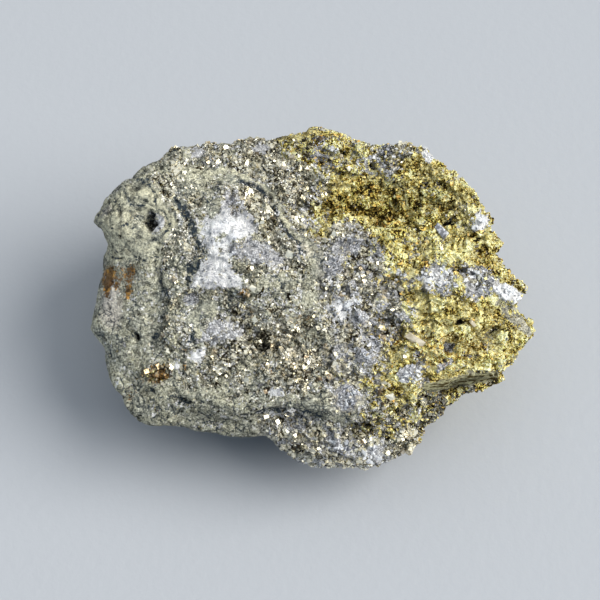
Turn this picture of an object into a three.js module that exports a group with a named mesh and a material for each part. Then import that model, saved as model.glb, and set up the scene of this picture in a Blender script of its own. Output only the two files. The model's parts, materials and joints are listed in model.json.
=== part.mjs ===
// A hand specimen of quartz and chalcopyrite: one broken lump of ore, resting on its flattest fracture.
// Millimetres and degrees, +Z up, the origin on the floor under the middle of the stone.
import * as THREE from 'three';
import { mergeVertices } from 'three/addons/utils/BufferGeometryUtils.js';
import { ImprovedNoise } from 'three/addons/math/ImprovedNoise.js';

// Driving sizes.
const LENGTH = 96; // across the stone, left tip to right tip
const MID_HEIGHT = 21; // of the stone's middle above the fracture that it rests on
const CROWN_DEPTH = 20; // from the middle out to the broad upper side
const KEEL_DEPTH = 33; // from the middle out to the hidden lower side
const CROWN_SQUARENESS = 4.4; // 2 is an ellipsoid, more is boxier
const KEEL_SQUARENESS = 2.5;
const GIRDLE_TILT = 30; // the broadest section leans back by this much from level
const GIRDLE_FRONT_LIFT = 3.5; // the front of that section bows up by this much
const FACET_SCATTER = 0.3; // share of a triangle's side by which its corners stray
const FACET_ROWS = 20; // rows of triangles along each edge of the starting icosahedron

// The broadest section, as [across, up the slope] from the middle, clockwise from the left tip.
const GIRDLE = [
  [-48.5, 16.1], [-45.8, 21.1], [-42.5, 24.3], [-37.3, 28.5], [-33.4, 30.7], [-30.8, 32.8],
  [-24.2, 33.7], [-16.4, 34.6], [-8.6, 34.9], [-3.6, 36.4], [0.3, 37.1], [3.6, 35.9],
  [7.3, 35.7], [11.4, 34.1], [19.5, 34.7], [24.5, 33.5], [27, 30.4], [31.6, 27],
  [34.7, 22.6], [37.3, 19.1], [38.6, 15.1], [41.8, 12.5], [40.1, 10.7], [41.4, 7.4],
  [44.5, 4.5], [45.7, 0.8], [44.1, -2.5], [47.5, -5.9], [47.7, -8.4], [43.8, -12.2],
  [40.9, -15.9], [40.9, -17.8], [37.9, -19.6], [31.1, -22.2], [27.5, -25.5], [23.4, -29.1],
  [22.5, -31.6], [17.3, -34.5], [11.7, -36.5], [6.2, -36.6], [0.7, -36.1], [-4.9, -34.3],
  [-7.7, -32.2], [-11, -29.5], [-16, -30], [-23.4, -28.7], [-33.4, -27.7], [-38.3, -26.3],
  [-41.5, -22.7], [-44.2, -16.5], [-45.3, -11.3], [-48.2, -6.7], [-47.1, -1.5], [-46, 4.1],
  [-46, 12.2],
];

// Flat breaks. turn goes round from +X, rise is up from level, reach is the face's distance from the
// stone's middle, and round is how soft its edges are. The upper side's breaks are turned and tilted
// in the frame of the broadest section, and the others in the stone's own frame.
const UPPER_BREAKS = {
  leftShoulder: { turn: 180, rise: 67, reach: 31.8, round: 1.6 },
  rightSlope: { turn: -6, rise: 60, reach: 31.6, round: 1.6 },
  frontBevel: { turn: -98, rise: 50, reach: 31.5, round: 1.4 },
  backBevel: { turn: 95, rise: 58, reach: 31.5, round: 1.4 },
};
const LOWER_BREAKS = {
  crown: { turn: -70, rise: 79, reach: 20, round: 1.6 },
  frontFace: { turn: -93, rise: 4, reach: 34.5, round: 1 },
  backFace: { turn: 93, rise: 3, reach: 33.5, round: 1 },
  backLeft: { turn: 138, rise: -10, reach: 45, round: 0.8 },
  backRight: { turn: 38, rise: -14, reach: 41, round: 0.8 },
  frontLeftUndercut: { turn: -118, rise: -38, reach: 29, round: 1 },
  frontUndercut: { turn: -78, rise: -46, reach: 29.5, round: 1 },
  leftUndercut: { turn: 176, rise: -34, reach: 35.5, round: 1 },
  lowLeft: { turn: 200, rise: -60, reach: 30, round: 1 },
  rightUndercut: { turn: -8, rise: -36, reach: 34, round: 1 },
  lowRight: { turn: 12, rise: -60, reach: 28.5, round: 1 },
  backUndercut: { turn: 80, rise: -36, reach: 31, round: 1 },
  lowBack: { turn: 105, rise: -62, reach: 26.5, round: 1 },
  base: { turn: 0, rise: -90, reach: 22, round: 0.7 },
};

// Swellings and hollows of the upper side, placed as [across, up the slope].
const FORMS = {
  goldHollow: { at: [13.5, 20], size: [12, 5.5], turn: -8, height: -4.2 },
  hollowLip: { at: [12, 12.5], size: [9, 2.6], turn: 8, height: 1.5 },
  quartzKnob: { at: [-18, 13], size: [8, 6], turn: -20, height: 1.3 },
  centreHollow: { at: [-12.5, -6.5], size: [4.6, 3.2], turn: -35, height: -2.2 },
  leftLobe: { at: [-39, 19], size: [8, 7], turn: 40, height: 1.6 },
  leftVug: { at: [-36, 16.6], size: [2.4, 2.8], turn: 25, height: -2.4 },
  rightRim: { at: [32, 17], size: [4, 13], turn: 22, height: 1.8 },
  rimPit: { at: [29.5, 16.5], size: [2.6, 2.2], turn: 30, height: -2.6 },
  goldRise: { at: [33, -5], size: [10, 7], turn: -15, height: 1.6 },
  goldPit: { at: [33, -5.2], size: [2.6, 2], turn: -20, height: -2.4 },
  backPeak: { at: [2, 32], size: [8, 4], turn: 5, height: 1.4 },
  cornerHollow: { at: [-30, -20], size: [5, 3], turn: -10, height: -1.3 },
  lowerBlock: { at: [4, -31], size: [14, 4.5], turn: -3, height: 1.6 },
};

// Cracks and creases of the upper side.
const CREASES = {
  frontSeam: {
    width: 1.4,
    depth: 1.5,
    path: [[-27, -22.5], [-16, -25.9], [-7.7, -24.1], [-1.8, -26.5], [6.8, -27.2], [15.5, -26.3], [23, -24.5]],
  },
  leftSeam: { width: 1.3, depth: 1.3, path: [[-33.5, 10], [-33, 0], [-32.8, -8], [-31.5, -12]] },
  rightNotch: { width: 1.8, depth: 2.2, path: [[44, 10], [39, 10.5], [34, 9]] },
  rimCleft: { width: 1.5, depth: 1.6, path: [[43, -3], [38, -2.5], [33, 1]] },
};

// The ledge under the gold: the surface below this line steps down by drop over a run of width.
const STEP = { path: [[14, -23.5], [21, -21.5], [29, -17.8], [41, -15]], drop: 3.2, width: 1.6, reach: 12 };

// Roughness: broad swells all round, and knobs that grow coarser towards the sulphide end.
const SWELL = { size: 17, height: 2.6, upperShare: 0.3 };
const LUMP = { size: 7, height: 0.9 };
const KNOB = { size: 5.2, height: 1.5, plainEnd: -22, knobbyEnd: 12, plainShare: 0.3 };
const NEAR_GIRDLE = 3; // features of the upper side fade out this far behind the girdle
const FACING = { none: 0.1, full: 0.55 }; // and on ground that faces away from the upper side
const OUTLINE_INSET = 0.5; // the roughened outline lies this far inside the girdle
const OUTLINE_STEPS = 200; // directions in which the roughened stone is brought back to the girdle

const noise = new ImprovedNoise();
const radians = THREE.MathUtils.degToRad;
const clamp = THREE.MathUtils.clamp;

// The tilted frame of the broadest section: across it, up its slope, and out of its upper side.
const ACROSS = new THREE.Vector3(1, 0, 0);
const UPSLOPE = new THREE.Vector3(0, Math.cos(radians(GIRDLE_TILT)), Math.sin(radians(GIRDLE_TILT)));
const OUTWARD = new THREE.Vector3().crossVectors(ACROSS, UPSLOPE);
const SLOPED_AXES = [ACROSS, UPSLOPE, OUTWARD];
const LEVEL_AXES = [ACROSS, new THREE.Vector3(0, 1, 0), new THREE.Vector3(0, 0, 1)];
const MIDDLE = new THREE.Vector3(0, 0, MID_HEIGHT);

function smooth(low, high, x) {
  return THREE.MathUtils.smoothstep(x, low, high);
}

// The girdle's radius at an angle, from the edge of the outline that the ray from the middle crosses.
function girdleRadius(angle) {
  const dx = Math.cos(angle);
  const dy = Math.sin(angle);
  let radius = 0;
  GIRDLE.forEach(([x1, y1], i) => {
    const [x2, y2] = GIRDLE[(i + 1) % GIRDLE.length];
    const ex = x2 - x1;
    const ey = y2 - y1;
    const cross = dx * ey - dy * ex;
    if (Math.abs(cross) < 1e-9) return;
    const along = (x1 * ey - y1 * ex) / cross;
    const share = (x1 * dy - y1 * dx) / cross;
    if (along > 0 && share >= 0 && share <= 1) radius = Math.max(radius, along);
  });
  return radius;
}

// The starting body: a rounded box whose broadest section is the girdle outline.
function bodyPoint(direction) {
  const across = direction.dot(ACROSS);
  const up = direction.dot(UPSLOPE);
  const out = direction.dot(OUTWARD);
  const angle = Math.atan2(up, across);
  const radius = girdleRadius(angle);
  const depth = out > 0 ? CROWN_DEPTH : KEEL_DEPTH;
  const square = out > 0 ? CROWN_SQUARENESS : KEEL_SQUARENESS;
  const flat = Math.hypot(across, up) / radius;
  const scale = (flat ** square + Math.abs(out / depth) ** square) ** (-1 / square);
  const rim = clamp(flat * scale, 0, 1);
  const bow = GIRDLE_FRONT_LIFT * Math.max(0, -Math.sin(angle)) ** 2 * rim ** 2;
  return direction.clone().multiplyScalar(scale).addScaledVector(OUTWARD, bow);
}

// Presses a point back to a flat break, with a rounded edge. axes are the frame that the break is turned in.
function press(point, { turn, rise, reach, round }, axes) {
  const level = Math.cos(radians(rise));
  const normal = new THREE.Vector3();
  normal.addScaledVector(axes[0], level * Math.cos(radians(turn)));
  normal.addScaledVector(axes[1], level * Math.sin(radians(turn)));
  normal.addScaledVector(axes[2], Math.sin(radians(rise)));
  const past = (point.dot(normal) - reach) / round;
  if (past < -6) return;
  const excess = past > 20 ? past : Math.log1p(Math.exp(past));
  point.addScaledVector(normal, -excess * round);
}

// Distance from a spot to a path, its side (positive below it), and how far along the spot lies.
function toPath(x, y, path) {
  let best = { distance: Infinity, side: 1 };
  for (let i = 0; i + 1 < path.length; i++) {
    const [x1, y1] = path[i];
    const ex = path[i + 1][0] - x1;
    const ey = path[i + 1][1] - y1;
    const share = clamp(((x - x1) * ex + (y - y1) * ey) / (ex * ex + ey * ey), 0, 1);
    const distance = Math.hypot(x - x1 - share * ex, y - y1 - share * ey);
    if (distance < best.distance) best = { distance, side: Math.sign(ey * (x - x1) - ex * (y - y1)) || 1 };
  }
  return best;
}

function formHeight(x, y, { at, size, turn, height }) {
  const c = Math.cos(radians(turn));
  const s = Math.sin(radians(turn));
  const dx = x - at[0];
  const dy = y - at[1];
  const a = (dx * c + dy * s) / size[0];
  const b = (dy * c - dx * s) / size[1];
  return height * Math.exp(-((a * a + b * b) ** 1.3));
}

// How far the upper side stands proud at a spot.
function upperRelief(x, y) {
  let height = 0;
  for (const form of Object.values(FORMS)) height += formHeight(x, y, form);
  for (const { path, width, depth } of Object.values(CREASES)) {
    height -= depth * Math.exp(-((toPath(x, y, path).distance / width) ** 2));
  }
  const { distance, side } = toPath(x, y, STEP.path);
  const below = side > 0 ? distance : -distance;
  const fade = 1 - smooth(STEP.reach * 0.5, STEP.reach, distance);
  height -= STEP.drop * smooth(0, STEP.width, below) * fade;
  return height;
}

// A repeatable random place inside a cell of the knob lattice.
function latticePoint(i, j, k, axis) {
  const h = Math.sin(i * 127.1 + j * 311.7 + k * 74.7 + axis * 53.3) * 43758.5453;
  return h - Math.floor(h);
}

// 0 in the crevices between knobs and up to 1 on their crowns.
function knobs(point, size) {
  const x = point.x / size;
  const y = point.y / size;
  const z = point.z / size;
  let nearest = Infinity;
  let second = Infinity;
  for (let i = Math.floor(x) - 1; i <= Math.floor(x) + 1; i++) {
    for (let j = Math.floor(y) - 1; j <= Math.floor(y) + 1; j++) {
      for (let k = Math.floor(z) - 1; k <= Math.floor(z) + 1; k++) {
        const distance = Math.hypot(
          x - i - latticePoint(i, j, k, 0),
          y - j - latticePoint(i, j, k, 1),
          z - k - latticePoint(i, j, k, 2),
        );
        if (distance < nearest) [nearest, second] = [distance, nearest];
        else if (distance < second) second = distance;
      }
    }
  }
  return clamp((second - nearest) * 1.6, 0, 1);
}

function roughness(point) {
  const swell = noise.noise(point.x / SWELL.size, point.y / SWELL.size + 7, point.z / SWELL.size);
  const lump = noise.noise(point.x / LUMP.size + 3, point.y / LUMP.size, point.z / LUMP.size + 5);
  const coarse = smooth(KNOB.plainEnd, KNOB.knobbyEnd, point.x);
  const share = KNOB.plainShare + (1 - KNOB.plainShare) * coarse;
  const knob = (knobs(point, KNOB.size) - 0.6) * KNOB.height * share;
  const hidden = 1 - smooth(-10, 2, point.dot(OUTWARD));
  const swellShare = SWELL.upperShare + (1 - SWELL.upperShare) * hidden;
  return swell * SWELL.height * swellShare + lump * LUMP.height + knob;
}

// Moves every vertex along its normal by what heightAt says.
function displace(geometry, heightAt) {
  geometry.computeVertexNormals();
  const position = geometry.getAttribute('position');
  const normal = geometry.getAttribute('normal');
  const point = new THREE.Vector3();
  const along = new THREE.Vector3();
  for (let i = 0; i < position.count; i++) {
    point.fromBufferAttribute(position, i);
    along.fromBufferAttribute(normal, i);
    point.addScaledVector(along, heightAt(point, along));
    position.setXYZ(i, point.x, point.y, point.z);
  }
}

// Brings the roughened stone's broadest outline back to the girdle, the middle moving least.
function fitOutline(geometry) {
  const position = geometry.getAttribute('position');
  const point = new THREE.Vector3();
  const outline = new Array(OUTLINE_STEPS).fill(0);
  const stepAt = (angle) => (angle / (2 * Math.PI) + 1) * OUTLINE_STEPS;
  const wrapped = (step) => ((step % OUTLINE_STEPS) + OUTLINE_STEPS) % OUTLINE_STEPS;
  for (let i = 0; i < position.count; i++) {
    point.fromBufferAttribute(position, i);
    const across = point.dot(ACROSS);
    const up = point.dot(UPSLOPE);
    const step = Math.round(stepAt(Math.atan2(up, across)));
    for (const near of [step - 1, step, step + 1]) {
      outline[wrapped(near)] = Math.max(outline[wrapped(near)], Math.hypot(across, up));
    }
  }
  for (let i = 0; i < position.count; i++) {
    point.fromBufferAttribute(position, i);
    const across = point.dot(ACROSS);
    const up = point.dot(UPSLOPE);
    const angle = Math.atan2(up, across);
    const step = stepAt(angle);
    const low = Math.floor(step);
    const have = THREE.MathUtils.lerp(outline[wrapped(low)], outline[wrapped(low + 1)], step - low);
    const share = (Math.hypot(across, up) / have) ** 2;
    const grow = ((girdleRadius(angle) - OUTLINE_INSET) / have - 1) * share;
    point.addScaledVector(ACROSS, across * grow).addScaledVector(UPSLOPE, up * grow);
    position.setXYZ(i, point.x, point.y, point.z);
  }
}

// An icosahedron's sphere, stretched to the stone's rough proportions so that its triangles stay even.
function startingDirections() {
  const sphere = new THREE.IcosahedronGeometry(1, FACET_ROWS);
  sphere.deleteAttribute('normal');
  sphere.deleteAttribute('uv');
  const merged = mergeVertices(sphere, 1e-5);
  const position = merged.getAttribute('position');
  const point = new THREE.Vector3();
  const keel = (CROWN_DEPTH + KEEL_DEPTH) / 2;
  const stray = (2.2 / (FACET_ROWS + 1)) * FACET_SCATTER;
  for (let i = 0; i < position.count; i++) {
    point.fromBufferAttribute(position, i);
    point.x += (latticePoint(i, 1, 2, 0) - 0.5) * stray;
    point.y += (latticePoint(i, 1, 2, 1) - 0.5) * stray;
    point.z += (latticePoint(i, 1, 2, 2) - 0.5) * stray;
    point.normalize();
    const across = point.x * LENGTH * 0.5;
    const up = point.y * LENGTH * 0.39;
    const out = point.z * keel;
    point.set(0, 0, 0);
    point.addScaledVector(ACROSS, across).addScaledVector(UPSLOPE, up).addScaledVector(OUTWARD, out);
    point.normalize();
    position.setXYZ(i, point.x, point.y, point.z);
  }
  return merged;
}

function stoneGeometry() {
  const geometry = startingDirections();
  const position = geometry.getAttribute('position');
  const point = new THREE.Vector3();
  for (let i = 0; i < position.count; i++) {
    const placed = bodyPoint(point.fromBufferAttribute(position, i));
    for (const face of Object.values(UPPER_BREAKS)) press(placed, face, SLOPED_AXES);
    for (const face of Object.values(LOWER_BREAKS)) press(placed, face, LEVEL_AXES);
    position.setXYZ(i, placed.x, placed.y, placed.z);
  }
  displace(geometry, (p, along) => {
    const facing = smooth(FACING.none, FACING.full, along.dot(OUTWARD));
    const fade = facing * smooth(-NEAR_GIRDLE, NEAR_GIRDLE, p.dot(OUTWARD));
    return fade > 0 ? fade * upperRelief(p.dot(ACROSS), p.dot(UPSLOPE)) : 0;
  });
  displace(geometry, roughness);
  fitOutline(geometry);
  geometry.translate(MIDDLE.x, MIDDLE.y, MIDDLE.z);
  for (let i = 0; i < position.count; i++) position.setZ(i, Math.max(0, position.getZ(i)));
  geometry.computeBoundingBox();
  const { min, max } = geometry.boundingBox;
  geometry.translate(-(min.x + max.x) / 2, -(min.y + max.y) / 2, 0);
  geometry.deleteAttribute('normal');
  return geometry;
}

const oreLook = new THREE.MeshStandardMaterial({ color: 0x8d8a6e, roughness: 0.55, metalness: 0.25, flatShading: true });

const specimen = new THREE.Group();
const stone = new THREE.Mesh(stoneGeometry(), oreLook);
stone.name = 'quartz_chalcopyrite_stone';
specimen.add(stone);

export default specimen;
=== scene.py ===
import json
import math
import random
import bmesh
import bpy
import numpy as np
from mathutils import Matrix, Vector, noise
from mathutils.bvhtree import BVHTree

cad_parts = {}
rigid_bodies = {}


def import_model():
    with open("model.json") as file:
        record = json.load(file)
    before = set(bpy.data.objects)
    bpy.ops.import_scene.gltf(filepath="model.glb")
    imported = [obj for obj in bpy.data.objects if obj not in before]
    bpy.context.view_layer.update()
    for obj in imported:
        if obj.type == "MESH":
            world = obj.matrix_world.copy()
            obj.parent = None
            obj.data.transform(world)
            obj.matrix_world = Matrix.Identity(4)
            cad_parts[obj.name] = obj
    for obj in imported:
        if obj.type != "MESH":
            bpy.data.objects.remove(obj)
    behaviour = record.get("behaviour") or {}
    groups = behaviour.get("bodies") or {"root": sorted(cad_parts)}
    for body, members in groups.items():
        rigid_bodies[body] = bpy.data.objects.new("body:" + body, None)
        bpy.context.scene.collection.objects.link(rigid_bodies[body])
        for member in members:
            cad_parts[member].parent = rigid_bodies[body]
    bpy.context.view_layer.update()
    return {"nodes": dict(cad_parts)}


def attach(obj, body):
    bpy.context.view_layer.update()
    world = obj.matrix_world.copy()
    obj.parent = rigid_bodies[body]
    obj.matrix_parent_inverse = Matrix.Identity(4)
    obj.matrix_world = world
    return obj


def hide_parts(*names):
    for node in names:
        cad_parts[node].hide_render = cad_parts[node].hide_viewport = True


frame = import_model()
millimetre = 0.001
stoneName = "quartz_chalcopyrite_stone"


def tint(red, green, blue):
    # a colour as it looks on a screen, 0 to 255, for a shader's socket
    def linear(value):
        value = value / 255
        return value / 12.92 if value <= 0.04045 else ((value + 0.055) / 1.055) ** 2.4
    return (linear(red), linear(green), linear(blue), 1)


# ---- node helpers: each adds a node to the tree that lies on the bench

bench = {}


class Wire:
    # one output of a node, which plain arithmetic joins to other outputs and to numbers
    def __init__(self, node, output=0):
        self.node = node
        self.output = output

    def __getitem__(self, output):
        return Wire(self.node, output)

    def __add__(self, other):
        return calc("ADD", self, other)

    def __radd__(self, other):
        return calc("ADD", other, self)

    def __sub__(self, other):
        return calc("SUBTRACT", self, other)

    def __rsub__(self, other):
        return calc("SUBTRACT", other, self)

    def __mul__(self, other):
        return calc("MULTIPLY", self, other)

    def __pow__(self, other):
        return calc("POWER", self, other)

    def __abs__(self):
        return calc("ABSOLUTE", self)


def feed(socket, value):
    if isinstance(value, Wire):
        bench["tree"].links.new(value.node.outputs[value.output], socket)
    else:
        socket.default_value = value


def put(kind, sockets=None, **settings):
    made = bench["tree"].nodes.new(kind)
    for name, value in settings.items():
        setattr(made, name, value)
    for name, value in (sockets or {}).items():
        feed(made.inputs[name], value)
    return Wire(made)


def calc(operation, *values, clamped=False):
    return put("ShaderNodeMath", dict(enumerate(values)), operation=operation, use_clamp=clamped)


def vector(operation, *values):
    return put("ShaderNodeVectorMath", dict(enumerate(values)), operation=operation)


def scaled(place, by):
    return put("ShaderNodeVectorMath", {0: place, "Scale": by}, operation="SCALE")


def dot(first, second):
    return put("ShaderNodeVectorMath", {0: first, 1: second}, operation="DOT_PRODUCT")["Value"]


def ramp(value, low, high, start=0.0, end=1.0):
    # a smooth step from start to end as value goes from low to high
    return put("ShaderNodeMapRange", {"Value": value, "From Min": low, "From Max": high,
                                      "To Min": start, "To Max": end}, interpolation_type="SMOOTHSTEP")


def blend(share, first, second):
    return put("ShaderNodeMix", {0: share, 6: first, 7: second}, data_type="RGBA")[2]


def noiseAt(place, size, detail=3.0, rough=0.55):
    # noise whose lumps are about size millimetres across
    return put("ShaderNodeTexNoise", {"Vector": place, "Scale": 1 / size, "Detail": detail,
                                      "Roughness": rough})


def cellsAt(place, size, feature="F1"):
    return put("ShaderNodeTexVoronoi", {"Vector": place, "Scale": 1 / size}, feature=feature)


def cellEdges(place, size):
    return cellsAt(place, size, "DISTANCE_TO_EDGE")


def named(name):
    return put("GeometryNodeInputNamedAttribute", {"Name": name}, data_type="FLOAT")["Attribute"]


def attribute(name):
    return put("ShaderNodeAttribute", attribute_name=name)["Fac"]


def stored(geometry, name, value, domain="POINT", kind="FLOAT"):
    return put("GeometryNodeStoreNamedAttribute", {"Geometry": geometry, "Name": name, "Value": value},
               data_type=kind, domain=domain)


def heightOf(place):
    return put("ShaderNodeSeparateXYZ", {0: place})["Z"]


def shares(colour):
    return put("ShaderNodeSeparateColor", {0: colour})


def aboutZero(colour):
    return vector("SUBTRACT", colour, (0.5, 0.5, 0.5))


def pushed(place, size, push, detail, rough=0.55):
    # the place pushed about by noise, so that no edge runs straight
    return vector("ADD", place, scaled(aboutZero(noiseAt(place, size, detail, rough)["Color"]), push))


def bentPlace(place):
    return pushed(place, 1.3, 0.75, 2.0)


def spaced(key):
    # a setting's key as the name of its socket: clumpTilt is Clump Tilt
    return "".join(" " + letter if letter.isupper() else letter for letter in key).title()


def newTree(name, kinds):
    # a geometry tree with a named input for each setting, by the kind of its socket
    tree = bpy.data.node_groups.new(name, "GeometryNodeTree")
    for key, kind in {"geometry": "Geometry", **kinds, "look": "Material"}.items():
        tree.interface.new_socket(spaced(key), in_out="INPUT", socket_type="NodeSocket" + kind)
    tree.interface.new_socket("Geometry", in_out="OUTPUT", socket_type="NodeSocketGeometry")
    bench["tree"] = tree
    return put("NodeGroupInput")


def finishTree(geometry, look):
    whole = put("GeometryNodeRealizeInstances", {"Geometry": geometry})
    put("NodeGroupOutput", {0: put("GeometryNodeSetMaterial", {"Geometry": whole, "Material": look})})
    return bench["tree"]


def newLook(name):
    look = bpy.data.materials.new(name)
    look.use_nodes = True
    bench["tree"] = look.node_tree
    bench["tree"].nodes.clear()
    return look


def finishLook(look, sockets):
    put("ShaderNodeOutputMaterial", {"Surface": put("ShaderNodeBsdfPrincipled", sockets)})
    return look


def bumpOf(height, strength, depth, sockets=None):
    return put("ShaderNodeBump", {"Height": height, "Strength": strength, "Distance": depth * millimetre,
                                  **(sockets or {})})


def objectPlace():
    # where a point lies on its piece, in millimetres
    return scaled(put("ShaderNodeTexCoord")["Object"], 1 / millimetre)


# ---- camera

viewPlan = {
    "lens": 85.0,
    "sensor": 36.0,
    "distance": 308.0,
    "elevation": 60.0,
    "target": (-2.9, 0.94, 21.5),
    "frameSize": 600,
}


def cameraAxes():
    rise = math.radians(viewPlan["elevation"])
    back = Vector((0, -math.cos(rise), math.sin(rise)))
    right = Vector((1, 0, 0))
    return right, back.cross(right), back


def cameraSpot():
    target = Vector(viewPlan["target"])
    return (target + cameraAxes()[2] * viewPlan["distance"]) * millimetre


def cameraScale():
    # frame units for each unit of slope from the camera, and half the frame
    return viewPlan["frameSize"] * viewPlan["lens"] / viewPlan["sensor"], viewPlan["frameSize"] / 2


def makeCamera():
    data = bpy.data.cameras.new("specimenCamera")
    data.lens = viewPlan["lens"]
    data.sensor_width = viewPlan["sensor"]
    data.clip_start = 0.01
    camera = bpy.data.objects.new("specimenCamera", data)
    camera.location = cameraSpot()
    camera.rotation_euler = (-cameraAxes()[2]).to_track_quat("-Z", "Y").to_euler()
    bpy.context.scene.collection.objects.link(camera)
    bpy.context.scene.camera = camera


makeCamera()
print("camera made")


# ---- where the minerals lie: shapes in the camera's 600-unit frame, painted one over another.
# A shape is an area (outline), a line (points, half width) or a spot (middle, half widths, turn), then
# the softness of its edge. Its paint sets the share of pyrite, gold and quartz, how fine the rock is, and
# its stains, pits and tone, from a named mixture or one by one. In places the tone paints light and shade
# onto the stone rather than its own tone.

paintNames = ("pyrite", "gold", "quartz", "fine", "lilac", "slate", "cream", "rust", "pit", "tone", "slick",
              "rise")


def mark(soft, base, paint, **form):
    return {"soft": soft, "paint": {**(base or {}), **paint}, **form}


def area(outline, soft, base=None, **paint):
    return mark(soft, base, paint, area=outline)


def line(points, width, soft, base=None, **paint):
    return mark(soft, base, paint, line=points, width=width)


def spot(x, y, wide, high, turn, soft, base=None, **paint):
    return mark(soft, base, paint, spot=(x, y), size=(wide, high), turn=turn)


def spots(name, *rows):
    # several spots that each change one share: a spot's numbers, then the share
    return [spot(*row[:6], **{name: row[6]}) for row in rows]


leftRock = {"pyrite": 0.03, "gold": 0, "quartz": 0.03, "fine": 0.8, "lilac": 0, "tone": 0}
speckledRock = {"pyrite": 0.4, "quartz": 0.08, "fine": 0.3, "tone": 0.5}
brassyRock = {"pyrite": 0.56, "quartz": 0.14, "fine": 0.1}
brownPyrite = {"pyrite": 0.62, "quartz": 0.08, "fine": 0.2, "rust": 0.1, "tone": 0.1}
lilacMix = {"pyrite": 0.42, "quartz": 0.4, "lilac": 0.5, "fine": 0.1, "gold": 0.02, "tone": 0.1}
lilacQuartz = {"pyrite": 0.06, "quartz": 0.86, "lilac": 0.9, "fine": 0, "gold": 0, "rise": 0.3}
whiteQuartz = {"pyrite": 0, "gold": 0, "quartz": 1, "lilac": 0.05, "fine": 0, "tone": 0.15, "rise": 0.1}
greyQuartz = {"pyrite": 0.02, "quartz": 0.96, "lilac": 0.45, "fine": 0, "rise": 0.1}
goldOre = {"gold": 0.84, "pyrite": 0.06, "quartz": 0.05, "fine": 0, "lilac": 0.3, "tone": 0}
goldMix = {"gold": 0.44, "pyrite": 0.24, "quartz": 0.26, "lilac": 0.4, "fine": 0, "tone": 0}
# gold raised and brightened with painted light, and gold darkened with painted shade
goldInPaintedLight = {"gold": 1, "pyrite": 0, "quartz": 0, "tone": 0.6, "rise": 0.8}
goldInPaintedShade = {"gold": 0.95, "quartz": 0.01, "tone": -0.6}
oliveRock = {"pyrite": 0.05, "gold": 0, "quartz": 0.02, "fine": 1, "tone": 0.12}
# the front face below, fine grey rock darkened with painted shade
greyFaceInPaintedShade = {"pyrite": 0.03, "gold": 0, "quartz": 0.03, "fine": 0.9, "slate": 0.16, "tone": -0.5}

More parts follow.
